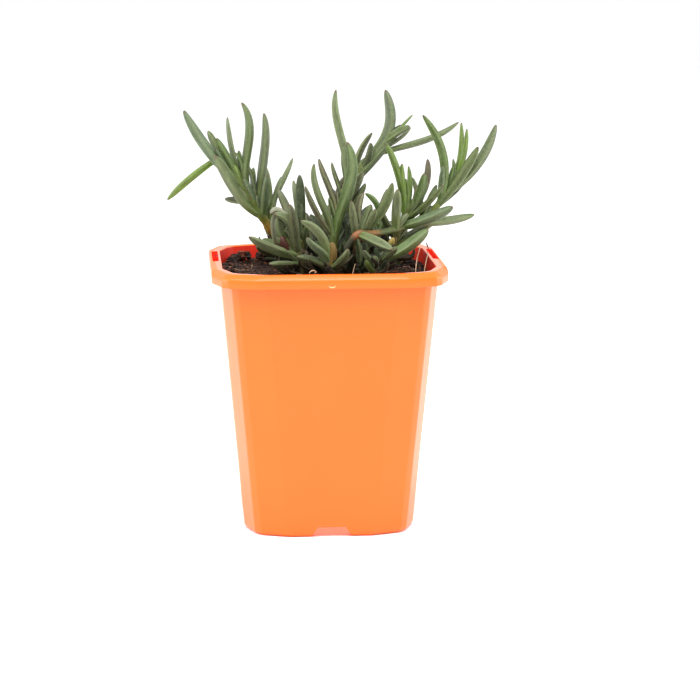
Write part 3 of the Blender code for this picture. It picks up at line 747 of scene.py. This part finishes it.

# %% [markdown]
# The waxy bloom on the leaves greys their green, leaves deep inside the clump get a dark olive tone that
# paints their shade, young ones are fresh green and stressed ones turn plum. These tones are stored in
# the mesh as an attribute, one colour for a leaf, and so are the place along the leaf and the nearness
# of a ridge. The material reads all three, which keeps one material for every leaf.

# %% Tones of leaves and stems
# The dark tone, far darker than a living leaf, is painted shade for leaves low and deep in the clump.
LEAF_TONES = {
    "grey": "#606A48", "blue": "#51634A", "green": "#4A642A", "leaf": "#627E26", "olive": "#475424",
    "dark": "#232D15", "plum": "#5A473E", "pale": "#828A6A", "rust": "#6E4A2A", "dry": "#9A7A3A",
    "brown": "#413A29", "withered": "#241C10", "ash": "#A09C90", "slate": "#3D4733", "moss": "#4E583A",
    "deep": "#3A4A22", "straw": "#B08A34", "amber": "#6C5620", "russet": "#42231A",
}
NEAR_TONES = ("grey", "green", "olive", "plum", "pale")
MOST_DRIFT = 0.35
# Stops along each stem from its foot, in millimetres. The stems are darker towards their foot, low in the
# clump: that dark is painted shade.
STEM_TONES = {
    "stem_left": [(8, "#33221A"), (19, "#5A2E20"), (24, "#54482A"), (27, "#7E5A20"), (32, "#826622"),
                  (38, "#4E5E26")],
    "stem_centre": [(8, "#4A3A1A"), (15, "#665826"), (24, "#465422")],
    "stem_right": [(8, "#2A2C18"), (26.5, "#2E331E"), (28.5, "#84502A"), (32, "#4E4426"), (37, "#7C5628"),
                   (42, "#46542A"), (62, "#626A30"), (72, "#5E6A2C")],
    "stem_middle": [(8, "#2E2618"), (18, "#44381E"), (26, "#6E4626"), (34, "#525428")],
}
PLAIN_STEM = [(8, "#38301C"), (18, "#504A26"), (30, "#525E2C")]


def mixed_tone(stops, along):
    """The colour at a place along a stem, from its nearest stops."""
    if along <= stops[0][0]:
        return Vector(linear(stops[0][1]))
    for (start, colour), (end, next_colour) in zip(stops, stops[1:]):
        if along <= end:
            share = (along - start) / (end - start)
            return Vector(linear(colour)).lerp(Vector(linear(next_colour)), share)
    return Vector(linear(stops[-1][1]))


print("leaf tones:", ", ".join(LEAF_TONES))

# %% [markdown]
# Each leaf is a stack of rings from its root to its tip. It could be a bent and pinched cone, but then
# the keel and the flat inner side would be lost. So one function gives the width along the leaf, one the
# section round it and one the line that it follows.

# %% Shape of one leaf
LEAF_SIDES = 16
LEAF_RINGS = 18
WIDEST = 1.09
ROOT_WIDTH = 0.80
KEEL_ROUND = 0.40
FLAT_DEPTH = 0.68
CHANNEL = 0.25
DEPTH_BOW = 0.10
POINT_POWER = 2.7
SWAY_SCALE = 13.5


def leaf_width(share):
    """Share of the leaf's half width at a place from root to tip: a slow swell, then a blunt point."""
    if share < 0.5:
        return ROOT_WIDTH + (WIDEST - ROOT_WIDTH) * sin(pi * share)
    return WIDEST * sqrt(1 - (2 * share - 1) ** POINT_POWER)


def leaf_section(turn):
    """Across and out from the leaf's line, for a leaf of half width one: keeled behind, hollow in front."""
    across = cos(turn)
    rise = sin(turn)
    if rise > 0:
        return across, KEEL_ROUND * rise + (1 - KEEL_ROUND) * (1 - abs(across))
    return across, -FLAT_DEPTH * sqrt(-rise) * (1 - CHANNEL * (1 - abs(across)))


def leaf_centre(root, reach, side, low, high, toward, share):
    """A leaf's centreline: straight to the tip, with a sway to the side and a bow in depth."""
    at_third = SWAY_SCALE * share * (2 / 3 - share) * (1 - share)
    at_two_thirds = SWAY_SCALE * share * (share - 1 / 3) * (1 - share)
    bow = 4 * share * (1 - share) * DEPTH_BOW * reach.length * sin(radians(toward))
    return root + reach * share + side * (low * at_third + high * at_two_thirds) + Vector((0, bow, 0))


print("width of a leaf at its middle:", round(leaf_width(0.5), 2))

# %% Grow one leaf
TIP_SHARE = 0.997
MOST_TWIST = radians(16)
WAVE_SIZE = 9.0
WAVE_DEPTH = 0.05
END_ON = 0.2
STREAK_SQUEEZE = 0.12
RING_CROWDING = 1.15
RIDGE_POWER = 6
STEP_AHEAD = 0.01
TONE_RANGE = (0.85, 1.15)
SEED_RANGE = 500
LEAF_SMOOTH = 50


def grow_leaf(shape, layers, root, stem_heading, row, chance, sides=LEAF_SIDES, bands=LEAF_RINGS):
    """Skins one leaf and paints its place, ridge and tone into the mesh's layers."""
    length, lean, toward, width, tone, *sways = row
    low, high = sways or (0, 0)
    lean_turn, toward_turn = radians(lean), radians(toward)
    reach = length * Vector((
        sin(lean_turn) * cos(toward_turn), -sin(toward_turn), cos(lean_turn) * cos(toward_turn),
    ))
    side = reach.cross(Vector((0, -1, 0))).normalized()
    inward = stem_heading - stem_heading.project(reach)
    if inward.length < END_ON:
        inward = Vector((0, 1, 0))
    twist = chance.uniform(-MOST_TWIST, MOST_TWIST)
    shares = [TIP_SHARE * sin(pi / 2 * band / bands) ** RING_CROWDING for band in range(bands + 1)]
    turns = [tau * step / sides for step in range(sides)]
    rings = []
    for share in shares:
        centre = leaf_centre(root, reach, side, low, high, toward, share)
        ahead = leaf_centre(root, reach, side, low, high, toward, share + STEP_AHEAD)
        tangent = (ahead - centre).normalized()
        keel = -(inward - inward.project(tangent)).normalized()
        keel.rotate(Matrix.Rotation(twist * share, 3, tangent))
        broad = keel.cross(tangent)
        wave = 1 + WAVE_DEPTH * noise.noise((root + reach * share) / WAVE_SIZE)
        half = leaf_width(share) * width / 2 * wave
        section = [leaf_section(turn) for turn in turns]
        rings.append([centre + (broad * across + keel * out) * half for across, out in section])
    colour = Vector(linear(LEAF_TONES[tone])) * chance.uniform(*TONE_RANGE)
    if tone in NEAR_TONES:
        near_tone = Vector(linear(LEAF_TONES[chance.choice(NEAR_TONES)]))
        colour = colour.lerp(near_tone, chance.uniform(0, MOST_DRIFT))
    seed_place = chance.uniform(0, SEED_RANGE)
    for share, ring in zip(shares, skin(shape, rings)):
        for turn, vert in zip(turns, ring):
            across, out = leaf_section(turn)
            place = (across * width / 2, out * width / 2 + seed_place, length * share * STREAK_SQUEEZE)
            vert[layers["blade"]] = place
            vert[layers["along"]] = share
            vert[layers["ridge"]] = max(abs(cos(turn)), sin(turn)) ** RIDGE_POWER
            vert[layers["tone"]] = (*colour[:3], 1.0)


print("faces of one leaf:", LEAF_SIDES * LEAF_RINGS + 2)

# %% [markdown]
# ## Stems
# A young stem is round and soft, swells where each pair of leaves leaves it and ends in a bud between
# the last two. Its route has few points, so the route is eased with curves before it is skinned. In
# the angle between a long leaf and the stem sits a young leaf, half as long, which makes the bundles full.

# %% Grow one stem
STEM_SIDES = 14
ROUTE_STEPS = 6
TOP_TAPER = 0.75
SWELL = 0.22
SWELL_REACH = 1.6
BUD_LENGTH = 3.0


def eased_route(points, steps):
    """The route through these points with its corners eased."""
    points = [Vector(point) for point in points]
    route = []
    last = len(points) - 1
    for index in range(last):
        before, start = points[max(index - 1, 0)], points[index]
        end, after = points[index + 1], points[min(index + 2, last)]
        leave, arrive = start + (end - before) / 6, end - (after - start) / 6
        route += interpolate_bezier(start, leave, arrive, end, steps + 1)[:-1]
    return route + [points[-1]]


def route_heading(route, index):
    """The heading of a route at one of its points."""
    return (route[min(index + 1, len(route) - 1)] - route[max(index - 1, 0)]).normalized()


def stem_place(points, along):
    """The point at this distance up the route, and the heading there."""
    for start, end in zip(points, points[1:]):
        run = (end - start).length
        if along <= run or end is points[-1]:
            heading = (end - start).normalized()
            return start + heading * min(along, run), heading
        along -= run


def grow_stem(shape, layers, name, points, radius, leaf_places):
    """Skins a stem with a swelling at each leaf and a rounded bud, and paints its tone."""
    route = eased_route(points, ROUTE_STEPS)
    lengths = [0.0]
    for start, end in zip(route, route[1:]):
        lengths.append(lengths[-1] + (end - start).length)
    whole = lengths[-1]
    rings = []
    for index, (middle, along) in enumerate(zip(route, lengths)):
        taper = 1 - (1 - TOP_TAPER) * along / whole
        nearest = min(abs(along - place) for place in leaf_places)
        swell = 1 + SWELL * exp(-((nearest / SWELL_REACH) ** 2))
        bud = sqrt(min(1.0, (whole - along) / BUD_LENGTH + 0.01))
        size = radius * taper * swell * bud
        rings.append(bead_ring(middle, route_heading(route, index), size, STEM_SIDES))
    made = skin(shape, rings)
    for along, ring in zip(lengths, made):
        colour = mixed_tone(STEM_TONES.get(name, PLAIN_STEM), along)
        for vert in ring:
            vert[layers["along"]] = 0.0
            vert[layers["ridge"]] = 0.0
            vert[layers["tone"]] = (*colour[:3], 1.0)
    paint([vert for ring in made for vert in ring], 1)


print("points on the eased left stem:", len(STEM_ROUTES["stem_left"][1]) * ROUTE_STEPS)

# %% [markdown]
# ## Leaf and stem materials
# A succulent leaf is a thin clear skin with a wax bloom over watery green flesh. The skin is satin rather
# than glossy, light goes a millimetre or two into the flesh, and the bloom rubs off in patches. Its
# base is fresher green, its ridges carry a pale painted highlight, and its very tip is dry and brown.

# %% Succulent leaf skin with wax bloom
# The pores of a real leaf are near 0.1 mm wide and are drawn coarser, so that they still break up the
# shine in a picture. The streaks are as wide as the leaf's real veins.
BLOOM_PATCH = 2.2
BLOOM_SPECK = 0.35
STREAK_WIDTH = 0.7
PORE_SIZE = 0.5
FRESH_GREEN = (0.82, 1.0, 0.28, 1.0)
LIGHT_DEPTH = (0.9 * MM, 1.2 * MM, 0.4 * MM)


def painted(tree, name, output="Fac"):
    """What one of the painted layers holds."""
    settings = {"attribute_name": name, "attribute_type": "GEOMETRY"}
    return add_node(tree, "ShaderNodeAttribute", settings).outputs[output]


leaf_skin, tree, shader = new_material("succulent leaf skin with wax bloom")
place = own_place(tree)
along = painted(tree, "along")
patches = speckle(tree, place, BLOOM_PATCH, 4.0, 0.6)
# The place on the blade is painted in millimetres, not in metres.
streaks = speckle(tree, painted(tree, "blade", "Vector"), STREAK_WIDTH / MM, 3.0, 0.6)
root_share = spread(tree, along, 0.55, 0.05, easing="SMOOTHSTEP")
colour = blend(tree, root_share, painted(tree, "tone", "Color"), FRESH_GREEN, "MULTIPLY")
for share, code in (
    (spread(tree, patches, 0.42, 0.72, 0.0, 0.30), "#7C8872"),
    (spread(tree, streaks, 0.38, 0.68, 0.65, 0.0), "#323C1C"),
    (spread(tree, speckle(tree, place, BLOOM_SPECK), 0.56, 0.72, 0.0, 0.5), "#8A936C"),
    # The keel and the edges are paler: a painted highlight.
    (spread(tree, painted(tree, "ridge"), 0.35, 1.0, 0.0, 0.26), "#8E9A6A"),
    (spread(tree, along, 0.95, 1.0, 0.0, 0.8, "SMOOTHSTEP"), "#523A30"),
):
    colour = blend(tree, share, colour, linear(code))
dimples = bump(tree, speckle(tree, place, PORE_SIZE), 0.06, 0.5)
set_inputs(shader, {
    "Base Color": colour,
    "Roughness": spread(tree, patches, 0.35, 0.7, 0.42, 0.62),
    "Normal": bump(tree, patches, 0.35, 0.45, Normal=dimples),
    "IOR": 1.40,
    "Specular IOR Level": 0.42,
    "Subsurface Weight": 0.08,
    "Subsurface Radius": LIGHT_DEPTH,
    "Subsurface Scale": 1.0,
    "Sheen Weight": 0.07,
    "Sheen Roughness": 0.35,
})
print("leaf material nodes:", len(tree.nodes))

# %% [markdown]
# Stems and dead leaves have no bloom. A young stem is satin, with brown blotches where it starts to turn
# woody. A withered leaf is dull, dark and deeply wrinkled, and its dark tone also paints the shadow it
# lies in. The same recipe makes both, with other depths and colours.

# %% Skins without bloom
BLOTCH_SIZE = 1.6


def aged_skin(name, blotch_code, wrinkle_depth, roughness):
    """A plant skin in its painted tone, blotched and finely wrinkled."""
    material, tree, shader = new_material(name)
    blotches = speckle(tree, own_place(tree), BLOTCH_SIZE, 4.0)
    share = spread(tree, blotches, 0.5, 0.75, 0.0, 0.5)
    set_inputs(shader, {
        "Base Color": blend(tree, share, painted(tree, "tone", "Color"), linear(blotch_code)),
        "Normal": bump(tree, blotches, wrinkle_depth, 0.6),
        "Roughness": roughness,
        "IOR": 1.40,
    })
    return material


stem_skin = aged_skin("young succulent stem skin", "#4A2A1A", 0.2, 0.5)
dead_leaf = aged_skin("withered leaf skin", "#3E2E1C", 0.5, 0.85)
print("skins without bloom:", stem_skin.name, "and", dead_leaf.name)

# %% Grow every stem with its leaves
LAYER_KINDS = {"along": "float", "ridge": "float", "tone": "float_color", "blade": "float_vector"}
AXIL_LEAST = 14
AXIL_MOST_LEAN = 100
AXIL_LENGTH = 0.5
AXIL_WIDTH = 0.62
AXIL_SIDES = 10
AXIL_BANDS = 10
UPRIGHT = Vector((0, 0, 1))
FIRST_SEED = 100


def new_growth():
    """An empty shape with the layers that the leaf and stem materials read."""
    shape = bmesh.new()
    for name, kind in LAYER_KINDS.items():
        getattr(shape.verts.layers, kind).new(name)
    return shape, {name: getattr(shape.verts.layers, kind)[name] for name, kind in LAYER_KINDS.items()}


def axil_row(row, heading):
    """A young leaf between a leaf and its stem, as a row of the same kind."""
    _, length, lean, toward, width, tone, *sways = row
    stem_lean = degrees(atan2(heading.x, heading.z))
    stem_toward = degrees(asin(-heading.y))
    return (
        length * AXIL_LENGTH, (lean + stem_lean) / 2, (toward + stem_toward) / 2,
        width * AXIL_WIDTH, tone, *[sway / 2 for sway in sways],
    )


for order, (name, (radius, route)) in enumerate(STEM_ROUTES.items()):
    chance = random.Random(FIRST_SEED + order)
    points = [Vector(point) for point in route]
    shape, layers = new_growth()
    rows = STEM_LEAVES[name]
    grow_stem(shape, layers, name, points, radius, [row[0] for row in rows])
    for row in rows:
        root, heading = stem_place(points, row[0])
        grow_leaf(shape, layers, root, heading, row[1:], chance)
        if row[1] > AXIL_LEAST and abs(row[2]) < AXIL_MOST_LEAN:
            young = axil_row(row, heading)
            grow_leaf(shape, layers, root, heading, young, chance, AXIL_SIDES, AXIL_BANDS)
    finish_piece(name + "_grown", shape, [leaf_skin, stem_skin], [name], LEAF_SMOOTH)

# %% [markdown]
# Behind the front stems stand a few more short leaves that close the gaps of sky low in the clump. The
# last rows are old ones that give the clump its warm spots: a curled grey one on a stump at the left, a
# russet stump under it, an amber leaf base in front and a straw-coloured one at the right. The russet
# and the amber one have lost their bloom, so they wear the skin of the stems.

# %% Short leaves in the gaps of the clump
SHORT_LEAVES = [
    ((-9, 9, 110), (22, 2, -6, 4.2, "brown")),
    ((-4, 11, 110), (20, -8, -10, 3.8, "dark", 0, 1)),
    ((0, 12, 110), (21, 6, -8, 3.6, "olive", 1, 0)),
    ((-13, 13, 110), (20, 8, -8, 3.8, "brown")),
    ((18, 15, 110), (20, 10, -8, 3.6, "dark")),
    ((24, 14, 110), (18, -6, -6, 3.6, "dark")),
    ((33, 15, 110), (16, 14, -6, 3.4, "olive")),
    ((-4, 3, 117), (18, -14, -4, 4.2, "brown")),
    ((-15.6, -12.5, 135.6), (9, -86, 10, 4.4, "ash", 0, 2)),
    ((-20.3, -9.5, 121.5), (15, -5, 4, 5.8, "brown")),
    ((-17.4, -10.8, 120.5), (7.5, -24, 0, 6.0, "russet")),
    ((0.9, -22.0, 113), (12, 2, -2, 4.2, "amber")),
    ((25.2, -12, 118.2), (8, 22, 6, 3.2, "straw")),
]
BARE_TONES = ("russet", "amber")
TONE_PLACE = 4

chance = random.Random(17)
shape, layers = new_growth()
for root, row in SHORT_LEAVES:
    faces_before = len(shape.faces)
    grow_leaf(shape, layers, Vector(root), UPRIGHT, row, chance)
    for face in list(shape.faces)[faces_before:]:
        face.material_index = int(row[TONE_PLACE] in BARE_TONES)
finish_piece("short_leaves", shape, [leaf_skin, stem_skin], smooth_angle=LEAF_SMOOTH)

# %% [markdown]
# Low down, between the stems, the oldest leaves have dried. They are thin, short and crooked, and their
# dark colour is partly painted shade: they fill the shadow under the plant. They grow from the same
# function, with fewer faces each, around the foot of each stem and between the stems.

# %% Withered leaves at the foot of the stems
WITHERED_PER_STEM = 6
WITHERED_BETWEEN = 70
WITHERED_TONES = ("withered", "withered", "brown", "dark", "dark")
WITHERED_SIDES = 8
WITHERED_BANDS = 8
WITHERED_RISE = 0.55
WITHERED_TOWARD = 45
ROOT_DEPTH = 0.7
THATCH_MIDDLE = Vector((4.0, 0.0, 109.0))
THATCH_REACH = 21.0


def draw(*ranges):
    """A random value from each range."""
    return [chance.uniform(low, high) for low, high in ranges]


def level(heading):
    """The level direction with this heading."""
    return Vector((cos(heading), sin(heading), 0.0))


chance = random.Random(31)
withered_roots = []
for name, (radius, route) in STEM_ROUTES.items():
    for _ in range(WITHERED_PER_STEM):
        out = level(chance.uniform(0, tau))
        root = Vector(route[1]) + out * radius * ROOT_DEPTH + Vector((0, 0, chance.uniform(-2.5, 5.0)))
        withered_roots.append((root, out))
for _ in range(WITHERED_BETWEEN):
    out = level(chance.uniform(0, tau))
    withered_roots.append((THATCH_MIDDLE + out * THATCH_REACH * sqrt(chance.random()), out))
shape, layers = new_growth()
for root, out in withered_roots:
    lean = degrees(atan2(out.x, WITHERED_RISE)) * chance.uniform(0.3, 1.0)
    toward = -WITHERED_TOWARD * out.y + chance.uniform(-10, 10)
    length, *sways, width = draw((7, 14), (-2, 2), (-2, 2), (1.3, 2.6))
    row = (length, lean, toward, width, chance.choice(WITHERED_TONES), *sways)
    grow_leaf(shape, layers, root, UPRIGHT, row, chance, WITHERED_SIDES, WITHERED_BANDS)
finish_piece("withered_leaves", shape, [dead_leaf], smooth_angle=LEAF_SMOOTH)

# %% [markdown]
# ## Potting mix
# The pot is filled with dark bark compost: crumbs, shreds and fibre, damp and nearly black, with some
# redder flakes of bark. Its surface is a fine grid pushed up and down by noise, bent to the pot's plan.
# Bark that has been wet is nearly matt: the roughness is high, and the flecks of inner bark are redder.

# %% Materials of the potting mix
PATCH_GRAINS = 3


def bark_material(name, tones, grain, roughness):
    """Bark in three tones, with crumbs of this many millimetres and patches of three times that."""
    material, tree, shader = new_material(name)
    dark, middle, bright = map(linear, tones)
    place = own_place(tree)
    patches = speckle(tree, place, grain * PATCH_GRAINS, 5.0, 0.65)
    crumbs = add_node(tree, "ShaderNodeTexVoronoi", {}, {"Vector": place, "Scale": repeats(grain)})
    fleck = add_node(tree, "ShaderNodeSeparateColor", {}, {"Color": crumbs.outputs["Color"]})
    fleck_share = spread(tree, fleck.outputs["Red"], 0.86, 1.0, 0.0, 0.8)
    ground = blend(tree, spread(tree, patches, 0.46, 0.66), dark, middle)
    rough = bump(tree, crumbs.outputs["Distance"], 0.4, 0.7)
    set_inputs(shader, {
        "Base Color": blend(tree, fleck_share, ground, bright),
        "Normal": bump(tree, patches, 0.6, 0.7, Normal=rough),
        "Roughness": roughness,
        "IOR": 1.45,
        "Specular IOR Level": 0.3,
    })
    return material


damp_mix = bark_material("damp bark potting mix", ("#1C110A", "#553220", "#86502F"), 0.9, 0.8)
dark_bark = bark_material("composted bark", ("#170E0A", "#4A2C1E", "#6E4029"), 0.7, 0.7)
red_bark = bark_material("fresh pine bark flake", ("#54261A", "#8A4428", "#B87044"), 0.6, 0.75)
print("bark materials:", damp_mix.name, dark_bark.name, red_bark.name)

# %% The surface of the mix
SOIL_TOP = 108.3
SOIL_SWELL = 1.1
GRID_CELLS = 190
CRUMB_SIZE = 3.2
CRUMB_HEIGHT = 1.0
SHRED_SIZE = 1.1
SHRED_HEIGHT = 0.45
SOFT_SMOOTH = 60
SOIL_EDGE = 3.0
EDGE_SHRINK = 0.995
soil_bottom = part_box("soil")[0].z / MM
soil_half = wall_half(SOIL_TOP) - WALL - 0.05


def soil_height(x, y):
    """The swells of the solid soil with crumbs and shreds on them, in millimetres."""
    short_swell = sin(x * 0.210 + 0.6) * cos(y * 0.170 - 0.9)
    long_swell = sin(x * 0.095 - y * 0.130 + 2.1)
    spot = Vector((x, y, 0.0))
    crumbs = abs(noise.noise(spot / CRUMB_SIZE)) * CRUMB_HEIGHT
    shreds = noise.noise(spot / SHRED_SIZE) * SHRED_HEIGHT
    return SOIL_TOP + SOIL_SWELL * (0.62 * short_swell + 0.38 * long_swell) + crumbs + shreds


def on_soil(x, y):
    """The point of the soil's surface over a place."""
    return Vector((x, y, soil_height(x, y)))


def plan_reach(plan, heading):
    """How far a plan reaches from its middle in this direction."""
    reaches = []
    for start, end in zip(plan, plan[1:] + plan[:1]):
        outward = Vector((end.y - start.y, start.x - end.x))
        if outward.dot(heading) > 0:
            reaches.append(outward.dot(start.to_2d()) / outward.dot(heading))
    return min(reaches)


soil_plan = pot_plan(soil_half, SOIL_TOP)
soil_reach = [plan_reach(soil_plan, level(radians(degree)).to_2d()) for degree in range(360)]


def inside_plan(x, y, share=1.0):
    """Moves a point of the square grid to the same place in the pot's plan."""
    if x == 0 and y == 0:
        return 0.0, 0.0
    angle = degrees(atan2(y, x)) % 360
    lower = int(angle) % 360
    upper = (lower + 1) % 360
    reach = soil_reach[lower] + (soil_reach[upper] - soil_reach[lower]) * (angle - int(angle))
    square = max(abs(x), abs(y)) / hypot(x, y)
    stretch = reach * square * share
    return x * stretch, y * stretch


soil_shape = bmesh.new()
bmesh.ops.create_grid(soil_shape, x_segments=GRID_CELLS, y_segments=GRID_CELLS, size=1.0)
for vert in soil_shape.verts:
    vert.co = on_soil(*inside_plan(vert.co.x, vert.co.y))
rim_loop = [edge for edge in soil_shape.edges if edge.is_boundary]
foot_shrink = (wall_half(soil_bottom) - WALL) / (wall_half(SOIL_TOP) - WALL)
for height, shrink in ((SOIL_TOP - SOIL_EDGE, EDGE_SHRINK), (soil_bottom, foot_shrink)):
    made = bmesh.ops.extrude_edge_only(soil_shape, edges=rim_loop)["geom"]
    fresh = {item for item in made if isinstance(item, bmesh.types.BMVert)}
    for vert in fresh:
        vert.co = (vert.co.x * shrink, vert.co.y * shrink, height)
    rim_loop = [
        item for item in made
        if isinstance(item, bmesh.types.BMEdge) and item.verts[0] in fresh and item.verts[1] in fresh
    ]
bmesh.ops.edgeloop_fill(soil_shape, edges=rim_loop)
finish_piece("potting_mix", soil_shape, [damp_mix], ["soil"], SOFT_SMOOTH)

# %% [markdown]
# Loose bark and crumbs lie on the mix, because a picture from this low angle shows the soil mostly by
# what sticks out of it. Hundreds of them are cheap only if each is simple: a shred is a stretched cube
# with its corners pushed about, and a crumb is a lumpy ball. A fixed seed draws the same litter each time.

# %% Bark shreds and crumbs that lie on it
SHREDS = 950
CRUMBS = 240
FRESH_SHARE = 0.05
CORNER_PUSH = 0.18
BARK_SMOOTH = 25
chance = random.Random(7)


def scatter_place(edge_share=0.97):
    """A random place on the soil, as a point of its surface."""
    return on_soil(*inside_plan(*draw((-1, 1), (-1, 1)), edge_share))


def random_turn(most_tilt):
    """A turn to any heading with a limited tilt."""
    heading = Matrix.Rotation(chance.uniform(0, tau), 3, "Z")
    tilt = Matrix.Rotation(chance.uniform(-most_tilt, most_tilt), 3, "X")
    return heading @ tilt


def cube(shape):
    """The corners of a new cube, from which a shred is made."""
    return bmesh.ops.create_cube(shape, size=1.0)["verts"]


def ball(shape):
    """The corners of a new ball of a few triangles, from which a crumb is made."""
    return bmesh.ops.create_icosphere(shape, subdivisions=1, radius=0.5)["verts"]


def roughen(verts, middle, size, turn, material_index):
    """Pushes a shape's corners about, then stretches, turns and places it."""
    for vert in verts:
        corner = vert.co + Vector(draw((-1, 1), (-1, 1), (-1, 1))) * CORNER_PUSH
        stretched = Vector([part * length for part, length in zip(corner, size)])
        vert.co = turn @ stretched + middle
    paint(verts, material_index)


litter_shape = bmesh.new()
for _ in range(SHREDS):
    size = draw((1.5, 6.0), (0.4, 1.3), (0.2, 0.6))
    roughen(cube(litter_shape), scatter_place(), size, random_turn(0.5), int(chance.random() < FRESH_SHARE))
for _ in range(CRUMBS):
    side = chance.uniform(0.8, 2.4)
    size = (side, side * chance.uniform(0.7, 1.2), side * chance.uniform(0.6, 1.0))
    roughen(ball(litter_shape), scatter_place(), size, random_turn(1.2), 0)
finish_piece("bark_litter", litter_shape, [dark_bark, red_bark], smooth_angle=BARK_SMOOTH)

# %% [markdown]
# A few things near the wall stand out in the picture: black lumps against the red plastic and a little
# heap of redder chips. A random draw would hardly put them there, so they are placed one by one.

# %% Lumps and a heap of chips by the wall
WALL_LUMPS = [
    (-38, 32, 5.2), (-40, 27, 4.4), (-36, 35, 4.6), (-26, 35, 5.6), (-23, 37, 4.6), (-17, 40, 3.0),
    (-40, 17, 2.6), (-41, 8, 2.4), (36, 32, 5.0), (33, 36, 3.6), (39, 25, 3.8), (27, 38, 3.0),
    (40, 15, 3.4), (41, 6, 2.6), (39, -4, 2.4), (12, 42, 2.4), (-8, 42, 2.4),
]
CRUMBS_IN_LUMP = 7
LUMP_SPREAD = 0.42
CHIP_HEAP = Vector((-34.0, 32.0, 111.6))
CHIPS_IN_HEAP = 14
RED_SIDE = -0.6

lump_shape = bmesh.new()
for x, y, size in WALL_LUMPS:
    for _ in range(CRUMBS_IN_LUMP):
        middle = on_soil(x, y) + Vector(draw((-1, 1), (-1, 1), (0, 1.3))) * size * LUMP_SPREAD
        block = (size * chance.uniform(0.5, 1.1), size * 0.6, size * chance.uniform(0.4, 0.8))
        roughen(ball(lump_shape), middle, block, random_turn(1.0), 0)
for _ in range(CHIPS_IN_HEAP):
    push = Vector(draw((-2.4, 2.4), (-1, 1), (-2.0, 2.0)))
    size = draw((1.4, 3.0), (1.0, 1.8), (1.0, 2.4))
    roughen(cube(lump_shape), CHIP_HEAP + push, size, random_turn(0.9), int(push.x < RED_SIDE))
finish_piece("wall_lumps", lump_shape, [dark_bark, red_bark], smooth_angle=BARK_SMOOTH)

# %% [markdown]
# Fibres bind the mix together: dark roots that creep over it and pale dry straws, two of which lean on
# the right wall. Each is a thin skinned strand through a few points, thinner at its ends.

# %% Dry straw and roots
STRAWS = [
    (0.24, [(36.5, -26, 108.5), (38, -12, 111), (40.5, 6, 113.6), (43, 20, 115.4), (44.3, 29, 116.2)]),
    (0.20, [(39.8, -26, 109), (41.5, -15, 111.5), (43.2, -5, 113.6), (45.0, 5, 115.2), (46.1, 12, 115.7)]),
    (0.15, [(9.1, -30, 109.5), (9.6, -30, 113.5), (10.6, -29, 116.8)]),
    (0.22, [(-9.9, -44.5, 115.2), (-9.2, -44.3, 116.0), (-8.0, -44.0, 116.4), (-6.9, -44.0, 115.7),
            (-7.6, -44.4, 115.3)]),
]
TWIG = (0.35, [(47.4, 23, 115.2), (47.2, 26, 116.3), (46.9, 29, 117.4)])
PALE_FIBRES = 45
DARK_FIBRES = 170
FIBRE_BAND = 1.5
STRAND_STEPS = 5
STRAND_SIDES = 5
END_SHARE = 0.35
CREEP_EDGE = 0.93
CREEP_STEPS = 3
TURN_BACK = 0.97


def fibre_material(name, dark, pale):
    """A dry, slightly shiny fibre with darker and paler lengths."""
    material, tree, shader = new_material(name)
    colour = blend(tree, speckle(tree, own_place(tree), FIBRE_BAND), linear(dark), linear(pale))
    set_inputs(shader, {"Base Color": colour, "Roughness": 0.6})
    return material


def lay_strand(shape, points, radius, material_index):
    """A thin strand through a few points, thinner at its ends."""
    route = eased_route(points, STRAND_STEPS)
    rings = []
    for index, middle in enumerate(route):
        share = min(max(index / (len(route) - 1), 0.05), 0.95)
        size = radius * (END_SHARE + (1 - END_SHARE) * sin(pi * share))
        rings.append(bead_ring(middle, route_heading(route, index), size, STRAND_SIDES))
    paint([vert for ring in skin(shape, rings) for vert in ring], material_index)


def creeping_route():
    """A random crooked route over the soil."""
    start = scatter_place(CREEP_EDGE)
    heading = chance.uniform(0, tau)
    points = [start + UPRIGHT * 0.3]
    for _ in range(CREEP_STEPS):
        heading += chance.uniform(-0.9, 0.9)
        spot = points[-1] + level(heading) * chance.uniform(1.5, 3.4)
        if spot.to_2d().length > soil_half:
            spot = points[-1] * TURN_BACK
        spot.z = soil_height(spot.x, spot.y) + chance.uniform(0.2, 1.2)
        points.append(spot)
    return points


dry_straw = fibre_material("dry straw", "#8A5A3A", "#E2C4A0")
dark_root = fibre_material("damp root fibre", "#1E1410", "#4A3226")
fibre_shape = bmesh.new()
for radius, points in STRAWS:
    lay_strand(fibre_shape, points, radius, 0)
lay_strand(fibre_shape, TWIG[1], TWIG[0], 1)
for _ in range(PALE_FIBRES):
    lay_strand(fibre_shape, creeping_route(), chance.uniform(0.07, 0.13), 0)
for _ in range(DARK_FIBRES):
    lay_strand(fibre_shape, creeping_route(), chance.uniform(0.12, 0.30), 1)
fibres = [dry_straw, dark_root]
finish_piece("straws_and_roots", fibre_shape, fibres, smooth_angle=SOFT_SMOOTH)
